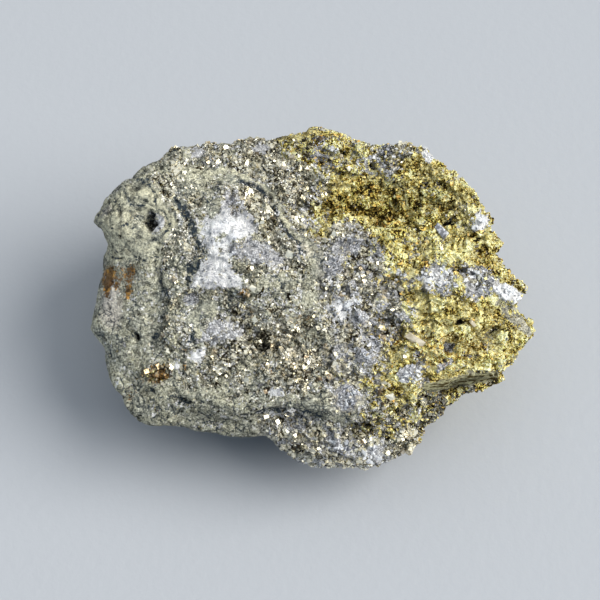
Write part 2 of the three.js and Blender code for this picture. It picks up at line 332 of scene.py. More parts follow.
markings = [
    # broad zones
    area([(60, 60), (150, 100), (200, 120), (214, 165), (203, 186), (216, 214), (202, 222), (186, 212),
          (176, 196), (168, 206), (172, 226), (166, 246), (164, 300), (158, 345), (176, 380), (200, 402),
          (262, 412), (262, 480), (60, 480)], 7, leftRock),
    area([(158, 158), (176, 178), (190, 200), (198, 222), (206, 246), (192, 275), (186, 300), (204, 312),
          (190, 332), (182, 350), (172, 362), (160, 342), (166, 300), (164, 250), (172, 226), (164, 200),
          (150, 178)], 5, speckledRock),
    area([(150, 120), (230, 130), (300, 130), (318, 165), (322, 186), (312, 216), (296, 232), (262, 232),
          (246, 200), (226, 186), (196, 166), (170, 170)], 7, brassyRock),
    area([(246, 228), (292, 236), (318, 250), (322, 300), (335, 330), (332, 380), (300, 398), (250, 396),
          (200, 380), (190, 350), (250, 335), (236, 290), (286, 262)], 8, pyrite=0.46, quartz=0.14,
         fine=0.25, tone=0.15),
    area([(258, 330), (318, 326), (330, 352), (322, 380), (276, 384), (252, 362)], 8, brownPyrite),
    area([(262, 268), (300, 262), (318, 296), (300, 322), (262, 326), (246, 300)], 8, pyrite=0.3,
         quartz=0.08, fine=0.6),
    area([(315, 236), (344, 226), (370, 230), (384, 246), (392, 270), (404, 305), (402, 330), (386, 352),
          (378, 372), (382, 390), (366, 402), (336, 412), (326, 392), (335, 330), (324, 300)], 7, lilacMix),
    area([(315, 234), (344, 226), (352, 262), (346, 296), (326, 300), (318, 262)], 6, pyrite=0.46,
         quartz=0.3, lilac=0.3),
    area([(370, 236), (386, 240), (400, 262), (418, 266), (416, 284), (402, 292), (386, 286), (374, 262)],
         5, goldMix, gold=0.26, quartz=0.36),
    area([(376, 318), (392, 322), (404, 330), (402, 348), (384, 350), (376, 336)], 4, gold=0.34,
         pyrite=0.36, quartz=0.16, rust=0.3, tone=0.1),
    spot(338, 382, 12, 9, 0, 4, gold=0.12, pyrite=0.5, quartz=0.25),
    spot(366, 384, 10, 6, -30, 4, gold=0.4, pyrite=0.3, tone=0.3),
    spot(388, 308, 8, 10, 20, 4, gold=0.3, pyrite=0.3, tone=0.3),
    spot(374, 330, 6, 8, 0, 3, gold=0.3, pyrite=0.4, rust=0.2),
    area([(258, 414), (300, 412), (312, 424), (345, 427), (385, 424), (420, 412), (445, 430), (440, 500),
          (258, 500)], 4, pyrite=0.48, quartz=0.32, lilac=0.35, fine=0, tone=0.45),
    area([(195, 380), (262, 388), (300, 394), (369, 396), (385, 411), (345, 423), (306, 420), (290, 410),
          (262, 412), (240, 416), (195, 400)], 5, oliveRock, pyrite=0.14, tone=0),
    area([(128, 402), (190, 402), (232, 414), (262, 414), (268, 450), (200, 450), (128, 436)], 4, greyFaceInPaintedShade),
    area([(284, 110), (300, 150), (315, 163), (323, 181), (330, 187), (320, 203), (312, 218), (316, 235),
          (344, 219), (369, 226), (384, 244), (386, 258), (392, 270), (400, 281), (398, 290), (404, 305),
          (407, 324), (396, 340), (386, 352), (392, 362), (378, 372), (380, 388), (394, 396), (400, 410),
          (415, 420), (432, 428), (600, 440), (600, 90), (300, 90)], 7, goldOre),
    area([(376, 378), (400, 392), (425, 392), (440, 420), (424, 446), (392, 440), (350, 428), (360, 404)],
         4, gold=0.46, pyrite=0.26, quartz=0.14, tone=-0.3),
    spot(404, 404, 18, 9, -20, 4, gold=0.8, tone=0.15),
    spot(430, 406, 12, 9, -20, 4, gold=0.5, pyrite=0.3, tone=0.3),
    *spots("tone", (352, 412, 16, 10, 10, 5, -0.3), (300, 448, 34, 9, 24, 6, 0.35)),

    # gold: painted light on the bright rims and painted shade in the dark hollow
    area([(298, 130), (330, 132), (352, 140), (384, 142), (408, 140), (420, 150), (412, 160), (396, 166),
          (388, 176), (366, 180), (348, 176), (330, 168), (314, 164), (302, 148)], 6, goldMix),
    spot(322, 141, 22, 8, 4, 5, gold=0.6, quartz=0.12, tone=-0.75),
    area([(306, 186), (322, 184), (338, 190), (336, 210), (320, 228), (308, 232), (302, 212)], 6, gold=0.52,
         pyrite=0.24, quartz=0.14, tone=-0.2),
    # painted shade in the hollow
    area([(334, 186), (352, 178), (374, 176), (394, 180), (404, 194), (412, 212), (406, 232), (398, 246),
          (384, 242), (366, 226), (344, 219), (330, 216), (326, 204)], 6, goldInPaintedShade),
    area([(348, 190), (374, 184), (394, 196), (402, 214), (396, 232), (380, 228), (354, 216), (340, 204)],
         5, tone=-0.95),
    area([(400, 186), (426, 194), (436, 206), (430, 222), (412, 214)], 6, tone=-0.15),
    *spots("tone", (346, 214, 26, 8, 14, 5, -0.65), (330, 172, 10, 7, 20, 4, 0.3)),
    spot(452, 170, 18, 7, 44, 4, gold=0.86, pyrite=0.1, tone=0.4),
    spot(384, 277, 9, 12, 10, 4, gold=0.6, tone=0.3),
    spot(512, 275, 10, 8, 40, 4, gold=0.84, pyrite=0.08, tone=-0.35),
    *spots("tone", (416, 222, 12, 10, 10, 4, -0.45), (440, 218, 7, 12, 10, 4, -0.15)),
    spot(458, 234, 12, 8, 10, 4, gold=0.95, tone=0.6),
    spot(380, 168, 10, 8, 10, 4, gold=0.6, quartz=0.24, tone=0.45),
    spot(436, 160, 12, 9, 30, 4, tone=0.4),
    spot(410, 280, 17, 11, 14, 4, gold=0.62, quartz=0.3, tone=0.8),
    *spots("tone", (386, 268, 11, 8, 30, 4, 0.7), (490, 308, 11, 10, 0, 4, 0.5)),
    spot(440, 402, 12, 8, -20, 4, gold=0.6, tone=0.45),
    spot(400, 262, 12, 5, 0, 4, tone=-0.5),
    spot(296, 135, 20, 5, -14, 3, gold=0.75, tone=-0.45, fine=0.7, slick=0.5),
    spot(402, 250, 8, 8, 20, 3, goldInPaintedLight),
    spot(457, 251, 20, 9, -8, 3, goldInPaintedLight, tone=0.9),
    spot(462, 190, 12, 10, -40, 4, gold=1, tone=0.25),
    spot(424, 172, 24, 8, -28, 5, gold=1, tone=0.15),
    spot(496, 240, 10, 12, 10, 3, goldInPaintedLight),
    spot(470, 312, 54, 22, -14, 8, gold=1, quartz=0, tone=0.5),
    *spots("tone", (480, 300, 12, 9, 20, 5, -0.4), (498, 254, 8, 8, 20, 4, -0.4),
           (478, 336, 22, 9, -20, 5, 0.85)),
    spot(464, 354, 18, 9, -10, 4, tone=-0.6, rust=0.3),
    spot(403, 357, 11, 7, 0, 4, gold=0.95, tone=0.6),
    spot(380, 369, 11, 9, 0, 4, gold=0.7, pyrite=0.15, tone=0.25),
    spot(426, 250, 9, 9, 0, 4, gold=1, tone=0.3),
    spot(425, 298, 10, 6, 0, 3, gold=1, quartz=0, tone=0.5),
    spot(428, 378, 12, 8, 0, 4, gold=0.95, quartz=0.02, rust=0.2),
    spot(302, 150, 16, 7, 10, 5, gold=0.62, tone=-0.4),
    spot(344, 144, 8, 5, 10, 3, tone=-0.5),
    spot(384, 162, 10, 10, 10, 4, gold=0.6, quartz=0.2, tone=0.1),
    spot(414, 412, 14, 9, -30, 4, gold=0.7, pyrite=0.2, tone=0.2),
    spot(434, 314, 8, 8, 0, 4, tone=0.5),
    spot(428, 306, 18, 19, 10, 5, gold=1, quartz=0, tone=1.0),
    spot(486, 362, 22, 8, -20, 5, goldInPaintedLight, tone=0.25),
    spot(440, 350, 26, 18, -10, 8, gold=0.95, rust=0.35, tone=0),
    spot(433, 347, 14, 9, 0, 4, tone=-0.6, rust=0.4),
    spot(411, 318, 5, 9, 20, 4, gold=0.2, pyrite=0.3, quartz=0.4),
    spot(424, 384, 10, 5, -10, 4, gold=0.4, pyrite=0.2, quartz=0.3),
    spot(418, 356, 7, 5, -20, 4, gold=0.4, pyrite=0.3, quartz=0.2),
    # painted light, on a risen ridge, over a crease that the lamp leaves in shade
    line([(427, 290), (430, 318), (431, 342)], 2.4, 4, rise=1, gold=1, tone=0.6),
    area([(495, 312), (512, 314), (530, 335), (526, 346), (514, 353), (500, 345), (492, 326)], 3, gold=0.92,
         quartz=0, fine=0.5, tone=-0.3),
    area([(490, 297), (506, 299), (521, 311), (536, 332), (532, 340), (518, 324), (503, 312), (493, 307)],
         2, gold=0.3, quartz=0, pyrite=0.1, fine=1, cream=0.2, tone=-0.3),
    spot(345, 182, 14, 5, 0, 2, gold=0.9, tone=0.35, rust=0.2),
    spot(320, 235, 8, 4, 0, 2, gold=0.9, tone=0.1),

    # quartz among the gold
    spot(318, 154, 18, 11, 10, 4, tone=-0.6),
    spot(327, 151, 11, 4, -6, 2.5, greyQuartz, lilac=0.7, tone=-0.2),
    spot(356, 161, 16, 5, 12, 2.5, greyQuartz, lilac=0.7, tone=0),
    spot(378, 171, 12, 5, -6, 2.5, greyQuartz, tone=0),
    spot(397, 152, 12, 6, 6, 3, lilacMix, gold=0.3, tone=0),
    spot(430, 154, 8, 7, 40, 2, whiteQuartz),
    spot(480, 221, 10, 9, 0, 2, whiteQuartz),
    spot(465, 220, 9, 12, 20, 3, gold=0.9, pyrite=0.08, tone=0.8),
    spot(474, 236, 10, 5, 20, 3, gold=1, tone=0.8),
    area([(418, 268), (436, 264), (452, 268), (458, 280), (454, 292), (444, 296), (430, 290), (418, 284)],
         4, greyQuartz, gold=0.16, pyrite=0.1, quartz=0.72, lilac=0.3, tone=0.25),
    area([(464, 266), (482, 264), (496, 270), (500, 284), (492, 296), (478, 300), (466, 294), (462, 280)],
         4, greyQuartz, gold=0.2, pyrite=0.16, quartz=0.6, tone=0.1),
    spot(509, 293, 15, 8, 25, 2, whiteQuartz),
    area([(398, 368), (408, 364), (420, 360), (426, 364), (420, 372), (414, 378), (412, 387), (402, 384),
          (397, 376)], 2.5, greyQuartz, gold=0.1, quartz=0.84, tone=0.1),
    spot(443, 366, 9, 3, -28, 2, lilacQuartz),
    spot(412, 349, 9, 4, 10, 2, greyQuartz),

    # lilac and white quartz of the middle
    spot(367, 350, 12, 15, 20, 4, lilacQuartz, pyrite=0.24, tone=-0.4),
    spot(338, 311, 15, 10, -30, 4, whiteQuartz, pyrite=0.2, cream=0.5),
    spot(361, 319, 7, 10, 30, 3, lilacQuartz),
    spot(347, 244, 16, 10, -10, 4, lilacQuartz, tone=0.3),
    spot(336, 268, 9, 9, 0, 4, lilacQuartz, tone=-0.25),
    spot(370, 268, 12, 16, 15, 5, lilacMix, pyrite=0.5),
    spot(346, 398, 11, 14, 20, 4, lilacQuartz),
    spot(378, 455, 9, 9, 20, 3, greyQuartz),
    spot(335, 445, 14, 10, 10, 4, lilacQuartz, pyrite=0.2),
    spot(408, 438, 14, 10, -40, 4, pyrite=0.8, gold=0.05, quartz=0.1, tone=0.3),
    spot(312, 302, 10, 12, 0, 3, oliveRock, cream=0.15, tone=-0.1),
    area([(195, 219), (215, 218), (224, 206), (222, 196), (233, 190), (243, 196), (244, 212), (257, 218),
          (255, 234), (248, 240), (236, 240), (231, 249), (210, 249), (198, 238)], 3, whiteQuartz),
    area([(224, 196), (234, 190), (244, 197), (245, 212), (236, 216), (226, 212)], 3, greyQuartz,
         quartz=0.8, lilac=0.6, tone=-0.2),
    area([(198, 224), (212, 221), (236, 222), (244, 228), (238, 238), (230, 247), (214, 248), (202, 240)],
         2, quartz=1, lilac=0, tone=0.5),
    area([(225, 246), (236, 240), (256, 241), (266, 247), (286, 255), (284, 264), (267, 266), (248, 263),
          (233, 257)], 3, greyQuartz, lilac=0.55),
    spot(252, 222, 6, 14, -30, 4, lilac=0.4),
    area([(206, 254), (218, 251), (233, 254), (228, 264), (234, 273), (246, 280), (243, 288), (226, 285),
          (212, 290), (194, 286), (197, 269)], 3, whiteQuartz, tone=0),
    area([(206, 322), (222, 320), (238, 322), (244, 332), (238, 340), (222, 338), (214, 344), (203, 342)],
         2, lilacQuartz, lilac=0.5, tone=0.15),
    area([(205, 345), (208, 354), (198, 364), (188, 362), (190, 352)], 3, whiteQuartz),
    spot(176, 364, 5, 4, 0, 3, whiteQuartz),
    spot(277, 392, 6, 3, 10, 2, whiteQuartz),
    spot(196, 152, 8, 5, -20, 2, greyQuartz),
    spot(262, 147, 9, 4, -8, 2, greyQuartz),
    spot(258, 184, 8, 5, 30, 3, lilacMix, quartz=0.7),
    spot(296, 214, 16, 10, 10, 5, lilacMix, quartz=0.6, lilac=0.3),
    spot(300, 252, 12, 8, 10, 4, lilacMix, quartz=0.55),
    spot(190, 300, 7, 5, 0, 2, lilacQuartz),

    # smooth olive and cream rock
    spot(187, 154, 6, 10, -10, 3, oliveRock, cream=0.5),
    spot(193, 180, 14, 8, -10, 4, oliveRock),
    area([(198, 192), (212, 184), (224, 196), (220, 208), (212, 219), (202, 210)], 2, oliveRock, tone=0),
    area([(198, 168), (218, 168), (234, 176), (247, 187), (240, 190), (222, 182), (204, 176)], 2, oliveRock,
         cream=0.35),
    area([(292, 232), (310, 240), (322, 252), (322, 276), (314, 280), (308, 260), (294, 244)], 2, oliveRock,
         cream=0.2, tone=-0.1),
    area([(184, 322), (194, 311), (204, 304), (216, 302), (218, 316), (211, 324), (204, 318), (196, 326)],
         2, oliveRock, cream=0.4),
    spot(142, 240, 20, 5, 18, 3, oliveRock, cream=0.35),
    spot(116, 246, 10, 14, 0, 4, cream=0.3, tone=0.12),
    spot(118, 222, 7, 5, 20, 2, cream=0.55, tone=0.2),
    spot(112, 306, 11, 22, -8, 5, lilac=0.9, fine=1, tone=0.12),
    spot(176, 173, 5, 10, -28, 2, pyrite=1, gold=0, quartz=0, fine=0, tone=0.7, rise=0.6),
    spot(250, 200, 9, 12, -20, 3, pyrite=0.9, tone=0.3, fine=0),
    spot(195, 200, 9, 6, 20, 3, pyrite=0.7, tone=0.15, fine=0),

    # painted light along the left edge, against its shade
    area([(90, 196), (108, 200), (122, 260), (118, 320), (128, 380), (110, 396), (84, 330)], 7, tone=0.75),
    *spots("tone", (168, 336, 10, 12, 0, 5, 0.6), (114, 240, 9, 15, 0, 4, 0.45),
           (165, 248, 12, 10, 0, 5, 0.3), (232, 298, 12, 8, 0, 4, 0.5), (188, 378, 16, 9, 0, 5, 0.35),
           (356, 376, 22, 12, 0, 5, 0.6)),
    spot(286, 160, 11, 10, 0, 4, pyrite=0.8, tone=0.75),
    *spots("tone", (250, 312, 8, 7, 0, 4, -0.4), (305, 300, 9, 8, 0, 4, -0.3),
           (166, 186, 20, 9, 40, 5, 0.1), (184, 350, 14, 22, 0, 5, 0.4)),
    spot(328, 186, 9, 7, 0, 4, pyrite=0.4, tone=0.4),
    # tones set spot by spot; the last of these, and the spot after, darken the front's foot with painted
    # shade
    *spots("tone", (330, 320, 8, 9, 0, 4, -0.3), (254, 298, 9, 7, 0, 4, -0.3),
           (278, 268, 12, 8, 0, 4, -0.35), (252, 206, 7, 8, 0, 4, -0.2), (286, 326, 14, 12, 0, 5, 0.4),
           (376, 384, 16, 8, 0, 5, 0.35), (160, 408, 26, 10, 14, 5, -0.55)),
    spot(286, 420, 12, 8, 14, 4, tone=-0.5, slate=0.4),

    # swirls of the upper left lobe
    area([(96, 226), (99, 208), (114, 194), (124, 184), (134, 176), (148, 178), (160, 188), (163, 204),
          (173, 214), (178, 224), (170, 240), (156, 252), (128, 262), (104, 262), (100, 240)], 4,
         cream=0.55, fine=1, tone=0.02, pyrite=0, quartz=0),
    line([(126, 177), (134, 177), (142, 178), (146, 183), (152, 187), (155, 191), (156, 198), (155, 205)],
         1.2, 1.9, slate=0.96, cream=0),
    line([(124, 186), (125, 191), (127, 197), (130, 202), (135, 204), (143, 205)], 1.0, 1.9, slate=0.86,
         cream=0),
    line([(131, 204), (130, 210), (131, 217), (128, 223), (120, 228)], 0.9, 1.9, slate=0.94),
    line([(155, 205), (161, 209), (166, 215), (170, 221), (169, 227), (164, 233), (158, 238), (148, 243)],
         1.2, 1.9, slate=0.96, cream=0),
    line([(158, 205), (165, 210), (172, 217), (175, 223), (172, 230), (165, 237)], 1.2, 1.8, cream=1,
         slate=0, tone=0.3),
    line([(134, 193), (140, 190), (147, 190), (152, 195), (150, 201)], 1.2, 1.8, cream=1, tone=0.25),
    line([(117, 198), (120, 204), (119, 209), (121, 215), (122, 222), (117, 229)], 1.0, 1.9, slate=0.82,
         cream=0),
    line([(98, 218), (103, 210), (110, 203), (116, 200)], 1.2, 2, slate=0.81, tone=-0.2),
    spot(107, 211, 7, 4, -42, 2, cream=0, lilac=0.6, tone=-0.05),
    line([(92, 226), (101, 223), (106, 226), (111, 229), (119, 229), (125, 226), (134, 228), (142, 232)],
         0.9, 1.9, slate=1.01),
    line([(117, 230), (116, 238), (118, 246), (116, 254)], 1, 2, slate=0.81),
    line([(102, 252), (116, 258), (130, 256), (146, 260), (158, 256)], 1.1, 2, slate=0.81),
    line([(146, 178), (157, 172), (166, 181), (173, 190), (179, 203)], 2.2, 3, slate=0.94, pyrite=0.25),
    line([(181, 204), (186, 213), (190, 222), (194, 234), (199, 245), (200, 253), (195, 262), (190, 271),
          (186, 282)], 4.2, 3.4, slate=0.78, pyrite=0.1, quartz=0, fine=0.6, pit=0.1, tone=-0.4),
    line([(178, 203), (183, 211), (187, 221), (191, 234), (196, 246), (196, 254), (191, 262), (186, 270),
          (183, 280)], 0.8, 1.7, slate=1.3),
    line([(184, 205), (190, 216), (194, 226), (197, 236), (203, 247), (203, 255), (197, 265), (192, 275)],
         0.9, 1.7, slate=1.3),
    line([(187, 240), (192, 250), (190, 260), (184, 268)], 0.7, 1.6, slate=1.1),
    line([(206, 190), (218, 186), (230, 190)], 1.0, 1.9, slate=0.68),
    line([(238, 218), (250, 216)], 1.2, 1.6, slate=0.81),

    # banded line right of the white quartz
    line([(221, 167), (248, 178), (264, 186), (275, 197), (281, 212), (287, 224), (293, 231)], 2.1, 2.2,
         cream=0.75, fine=0.8, pyrite=0, quartz=0, rise=0.2),
    line([(240, 179), (261, 189), (270, 200), (277, 212), (281, 224), (290, 236), (298, 244), (306, 262)],
         2.2, 2.2, slate=1.22, pyrite=0.05, quartz=0.1, pit=0.1),
    line([(300, 240), (312, 247), (318, 262), (314, 276)], 1.7, 2.2, slate=0.61),

    # seams, blotches and streaks
    line([(158, 268), (161, 292), (165, 307), (160, 321), (157, 332), (153, 346)], 1.6, 2.2, slate=0.8,
         pit=0.2),
    spot(152, 339, 3.5, 9, 6, 3.5, slate=0.85, pit=0.2),
    spot(190, 338, 9, 6, -24, 3.6, slate=0.8, pit=0.1, pyrite=0.1),
    spot(199, 333, 5, 4, 0, 2, cream=0.7, slate=0, fine=0.8),
    spot(246, 314, 8, 5, -10, 3, slate=0.85, pit=0.25),
    spot(149, 393, 6, 5, 0, 3, slate=1, pit=0.4),
    spot(181, 402, 8, 3, 12, 2, slate=1, pit=0.5),
    *spots("slate", (158, 398, 20, 10, 20, 6, 0.4), (207, 378, 9, 3, 40, 2, 0.7)),
    spot(308, 417, 14, 4, 12, 4, slate=0.8, pit=0.3),
    spot(312, 440, 18, 7, 30, 6, slate=0.35, lilac=0.8),
    line([(240, 417), (262, 413), (277, 410), (293, 411), (304, 421), (308, 434)], 1.4, 2.2, slate=1.22,
         pit=0.35),
    line([(195, 401), (215, 408), (240, 417)], 1.2, 2.2, slate=0.81, pit=0.15),
    line([(165, 408), (195, 422), (230, 430)], 1.2, 2.2, slate=0.68),
    line([(378, 300), (368, 318), (362, 332), (364, 340)], 1.7, 2.2, fine=1, cream=0.2, quartz=0, pyrite=0),

    # rust
    spot(118, 276, 17, 12, 0, 6, rust=0.44),
    spot(108, 276, 5, 12, 8, 3, rust=1, tone=-0.2),
    spot(107, 292, 3.4, 8, -4, 2, rust=1, tone=-0.2),
    spot(129, 273, 4, 8, 20, 3, rust=0.8, tone=-0.2),
    spot(128, 293, 3, 9, 10, 2.5, rust=0.9, tone=-0.2),
    spot(117, 286, 2.4, 7, -6, 2, rust=0.8, tone=-0.1),
    spot(156, 374, 18, 10, -10, 5, rust=0.66, pyrite=0.45, gold=0.1, fine=0, tone=0.1),
    spot(160, 376, 7, 5, -10, 3, rust=0.95, tone=-0.2),
    spot(130, 395, 4, 7, 10, 3, rust=0.5, pyrite=0.3),
    spot(185, 366, 4, 5, 0, 3, rust=0.5),
    spot(242, 293, 7, 5, 0, 3, rust=0.5, pyrite=0.6, tone=-0.2),
    spot(99, 231, 3.4, 2.6, 50, 1.5, rust=0.4, pit=1, cream=0),
    spot(101, 236, 3.4, 3, 0, 1.5, rust=1, pit=0.2, cream=0),

    # holes, carved and darkened with painted shade
    area([(150, 213), (158, 213), (165, 220), (164, 228), (156, 234), (150, 232)], 1.5, greyQuartz,
         lilac=0.3, slate=0, cream=0),
    area([(150, 210), (154, 214), (152, 219), (156, 224), (154, 229), (150, 232), (147, 227), (143, 224),
          (147, 218)], 2, pit=0.75, slate=0.5, quartz=0.3, tone=-0.4, cream=0),
    spot(138, 209, 4, 3, 30, 2, pit=0.4, tone=-0.4, cream=0),
    spot(138, 219, 6, 9, 0, 3, slate=0.4, tone=-0.4, cream=0.1),
    spot(135, 184, 6.5, 4, -30, 2.4, pit=0.5, tone=-0.55, cream=0),
    spot(145, 200, 2.4, 2.2, 0, 1.6, pit=0.6, tone=-0.4, cream=0),
    spot(136, 337, 2, 4.5, -24, 1, pit=0.9),
    spot(256, 338, 13, 6, 24, 5, slate=0.55, pit=0.4, tone=-0.3),
    *spots("pit", (262, 346, 5, 4, 0, 2, 0.7), (449, 222, 6, 3.6, -12, 2.4, 1),
           (480, 239, 5, 2.6, -20, 1.5, 0.8), (464, 321, 7, 3, -6, 1.5, 1),
           (494, 329, 7, 1.8, -38, 1.5, 0.8)),
    spot(450, 348, 6, 4, -10, 1.6, pit=0.5, slate=0.8, quartz=0.5, gold=0),
    *spots("pit", (373, 164, 3, 4, -20, 1.5, 0.8), (343, 151, 5, 1.6, 30, 1.4, 0.7)),
    spot(316, 141, 6, 1.6, 6, 1.4, pit=0.5, rust=0.6),
    spot(400, 333, 4, 6, 10, 2, pit=0.6),
    spot(372, 432, 17, 5, 8, 4, gold=0.6, pit=0.45, tone=-0.6),

    # the striated slip face under the gold, and its shadow line: a groove with painted shade in it
    area([(422, 385), (452, 378), (480, 372), (498, 373), (497, 382), (476, 384), (446, 390), (426, 392)],
         1.5, slick=1, gold=0, pyrite=0, quartz=0, fine=1, tone=0.6, rust=0),
    # the shadow line: a groove darkened with painted shade
    line([(428, 399), (446, 393), (462, 387)], 2.0, 2.2, pit=0.7),
    area([(430, 398), (462, 390), (502, 378), (504, 390), (470, 402), (440, 418), (425, 420)], 3, gold=0.5,
         pyrite=0.22, quartz=0.04, tone=-0.8),
    spot(392, 397, 16, 8, 10, 4, tone=-0.2),
]


def segmentGaps(spots, points):
    # how far each spot is from a line through the points
    best = np.full(len(spots), 1e9)
    for first, second in zip(points[:-1], points[1:]):
        start = np.array(first, float)
        run = np.array(second, float) - start
        share = np.clip(((spots - start) @ run) / (run @ run), 0, 1)
        best = np.minimum(best, np.linalg.norm(spots - start - share[:, None] * run, axis=1))
    return best


def isInside(spots, outline):
    inside = np.zeros(len(spots), bool)
    x, y = spots[:, 0], spots[:, 1]
    for (x1, y1), (x2, y2) in zip(outline, outline[1:] + outline[:1]):
        crosses = (y1 > y) != (y2 > y)
        if y1 != y2:
            inside ^= crosses & (x < (x2 - x1) * (y - y1) / (y2 - y1) + x1)
    return inside


def coverOf(shape, spots):
    # 1 inside a shape and 0 outside, with its soft edge centred on its outline
    if "area" in shape:
        outline = shape["area"]
        gaps = segmentGaps(spots, outline + outline[:1])
        beyond = np.where(isInside(spots, outline), -gaps, gaps)
    elif "line" in shape:
        beyond = segmentGaps(spots, shape["line"]) - shape["width"]
    else:
        turn = math.radians(shape["turn"])
        away = spots - np.array(shape["spot"], float)
        length = (away[:, 0] * math.cos(turn) + away[:, 1] * math.sin(turn)) / shape["size"][0]
        across = (away[:, 1] * math.cos(turn) - away[:, 0] * math.sin(turn)) / shape["size"][1]
        beyond = (np.hypot(length, across) - 1) * min(shape["size"])
    share = np.clip(0.5 - beyond / (2 * shape["soft"]), 0, 1)
    return share * share * (3 - 2 * share)


def framePlaces(points):
    # where points in metres fall in the camera's frame
    right, up, back = (np.array(axis) for axis in cameraAxes())
    away = points - np.array(cameraSpot())
    depth = -(away @ back)
    scale, half = cameraScale()
    return np.stack([half + scale * (away @ right) / depth, half - scale * (away @ up) / depth], 1)


strayPlan = {
    # size in millimetres, push in frame units and place in the noise of three wanders
    "wide": (9.0, 4.5, 3.1),      # of all edges
    "narrow": (1.6, 2.6, 8.7),    # of all edges, and ragged
    "far": (16.0, 60.0, 5.3),     # of the whole pattern on the side turned away
    "narrowFrom": 3,              # softness from which an edge takes the whole narrow wander
    "wideFrom": 6,
    "roundFrom": 3.5,             # sharper shapes than this stay off the side turned away
    "turnedAway": (0.05, 0.5),    # how little a face looks at the camera there, and over what range
    "startShares": {"pyrite": 0.3, "quartz": 0.16},    # before anything is painted
    "seed": 4,                    # the noise would otherwise start from the clock
}


def wander(points, kind):
    size, push, offset = strayPlan[kind]
    shift = Vector((offset, offset * 0.37, offset * 1.91))
    return np.array([noise.noise_vector(Vector(p) / size + shift) for p in points])[:, :2] * push


def readVectors(mesh, name):
    values = np.zeros(len(mesh.vertices) * 3)
    mesh.vertices.foreach_get(name, values)
    return values.reshape(-1, 3)


def paintZones(mesh):
    noise.seed_set(strayPlan["seed"])
    points = readVectors(mesh, "co")
    facing = readVectors(mesh, "normal") @ np.array(cameraAxes()[2])
    hidden = np.clip((strayPlan["turnedAway"][0] - facing) / strayPlan["turnedAway"][1], 0, 1)
    inMillimetres = points / millimetre
    wide = wander(inMillimetres, "wide")
    narrow = wander(inMillimetres, "narrow")
    spots = framePlaces(points) + wander(inMillimetres, "far") * hidden[:, None]
    painted = {name: np.full(len(points), strayPlan["startShares"].get(name, 0.0)) for name in paintNames}
    for shape in markings:
        soft = shape["soft"]
        strayed = spots + narrow * min(1.0, soft / strayPlan["narrowFrom"])
        cover = coverOf(shape, strayed + wide * min(1.0, soft / strayPlan["wideFrom"]))
        if soft < strayPlan["roundFrom"]:
            cover = cover * (1 - hidden)
        for name, value in shape["paint"].items():
            painted[name] += (value - painted[name]) * cover
    for name, values in painted.items():
        layer = mesh.attributes.new(name, "FLOAT", "POINT")
        layer.data.foreach_set("value", values.astype(np.float32))


# ---- the ore's body: the solid remeshed finely, softened, roughened zone by zone, then thinned

bodyPlan = {
    "mergeWithin": 0.01 * millimetre,
    "voxel": 0.36 * millimetre,
    "keptShare": 0.52,       # share of the triangles kept by the thinning
    "softenSteps": 12,
    "softenWeight": 0.9,
    "clumpSize": 5.0,        # millimetres across three sizes of broken face, and how steeply they tilt
    "clumpTilt": 0.3,
    "hackleSize": 2.3,
    "hackleTilt": 0.36,
    "chipSize": 1.05,
    "chipTilt": 0.42,
    "chipStep": 0.14,        # how far one chip stands above another
    "seamDepth": 0.2,        # of the gaps between chips
    "metalBreak": 0.95,      # how broken each mineral's faces are
    "quartzBreak": 0.45,
    "rockBreak": 0.12,
    "lumpSize": 3.2,
    "lumpHeight": 0.42,
    "gritSize": 0.9,
    "gritHeight": 0.26,
    "foldSize": 1.9,         # of the crumpled gold faces
    "foldHeight": 0.55,
    "crackSize": 2.6,
    "crackDepth": 0.3,
    "poreSize": 2.1,         # millimetres between small pores, and how deep they go
    "poreDepth": 0.7,
    "pitDepth": 1.5,
    "riseHeight": 0.45,
    "slateDepth": 0.16,
    "mostOut": 0.55,         # how far the relief may stand out, in millimetres
    "restHeight": 1.2,       # relief fades out this close to the floor
    "smoothFrom": 0.62,      # share of fine rock and quartz from which a face is shaded smooth
}


def crackLines(place, size):
    # 1 along wandering hairlines and 0 away from them
    edge = cellEdges(pushed(place, size * 0.7, size * 1.1, 4.0, 0.65), size)
    patch = noiseAt(place, size * 1.7, 2.0)
    return ramp(edge, 0.075, 0.015) * ramp(patch, 0.42, 0.56)


def poreSpots(place, size):
    # 1 inside small ragged pores and 0 outside, in a third of the cells
    cells = cellsAt(pushed(place, size * 0.4, size * 0.8, 3.0, 0.6), size)
    chosen = calc("GREATER_THAN", dot(cells["Color"], (1.0, 0.0, 0.0)), 0.62)
    return ramp(cells, 0.24, 0.12) * chosen


def tiltedCells(place, size):
    # height of randomly tilted flat facets, one to a cell, in units of the cell size
    cells = cellsAt(place, size)
    return dot(vector("SUBTRACT", place, cells["Position"]), aboutZero(cells["Color"])) * 2.0


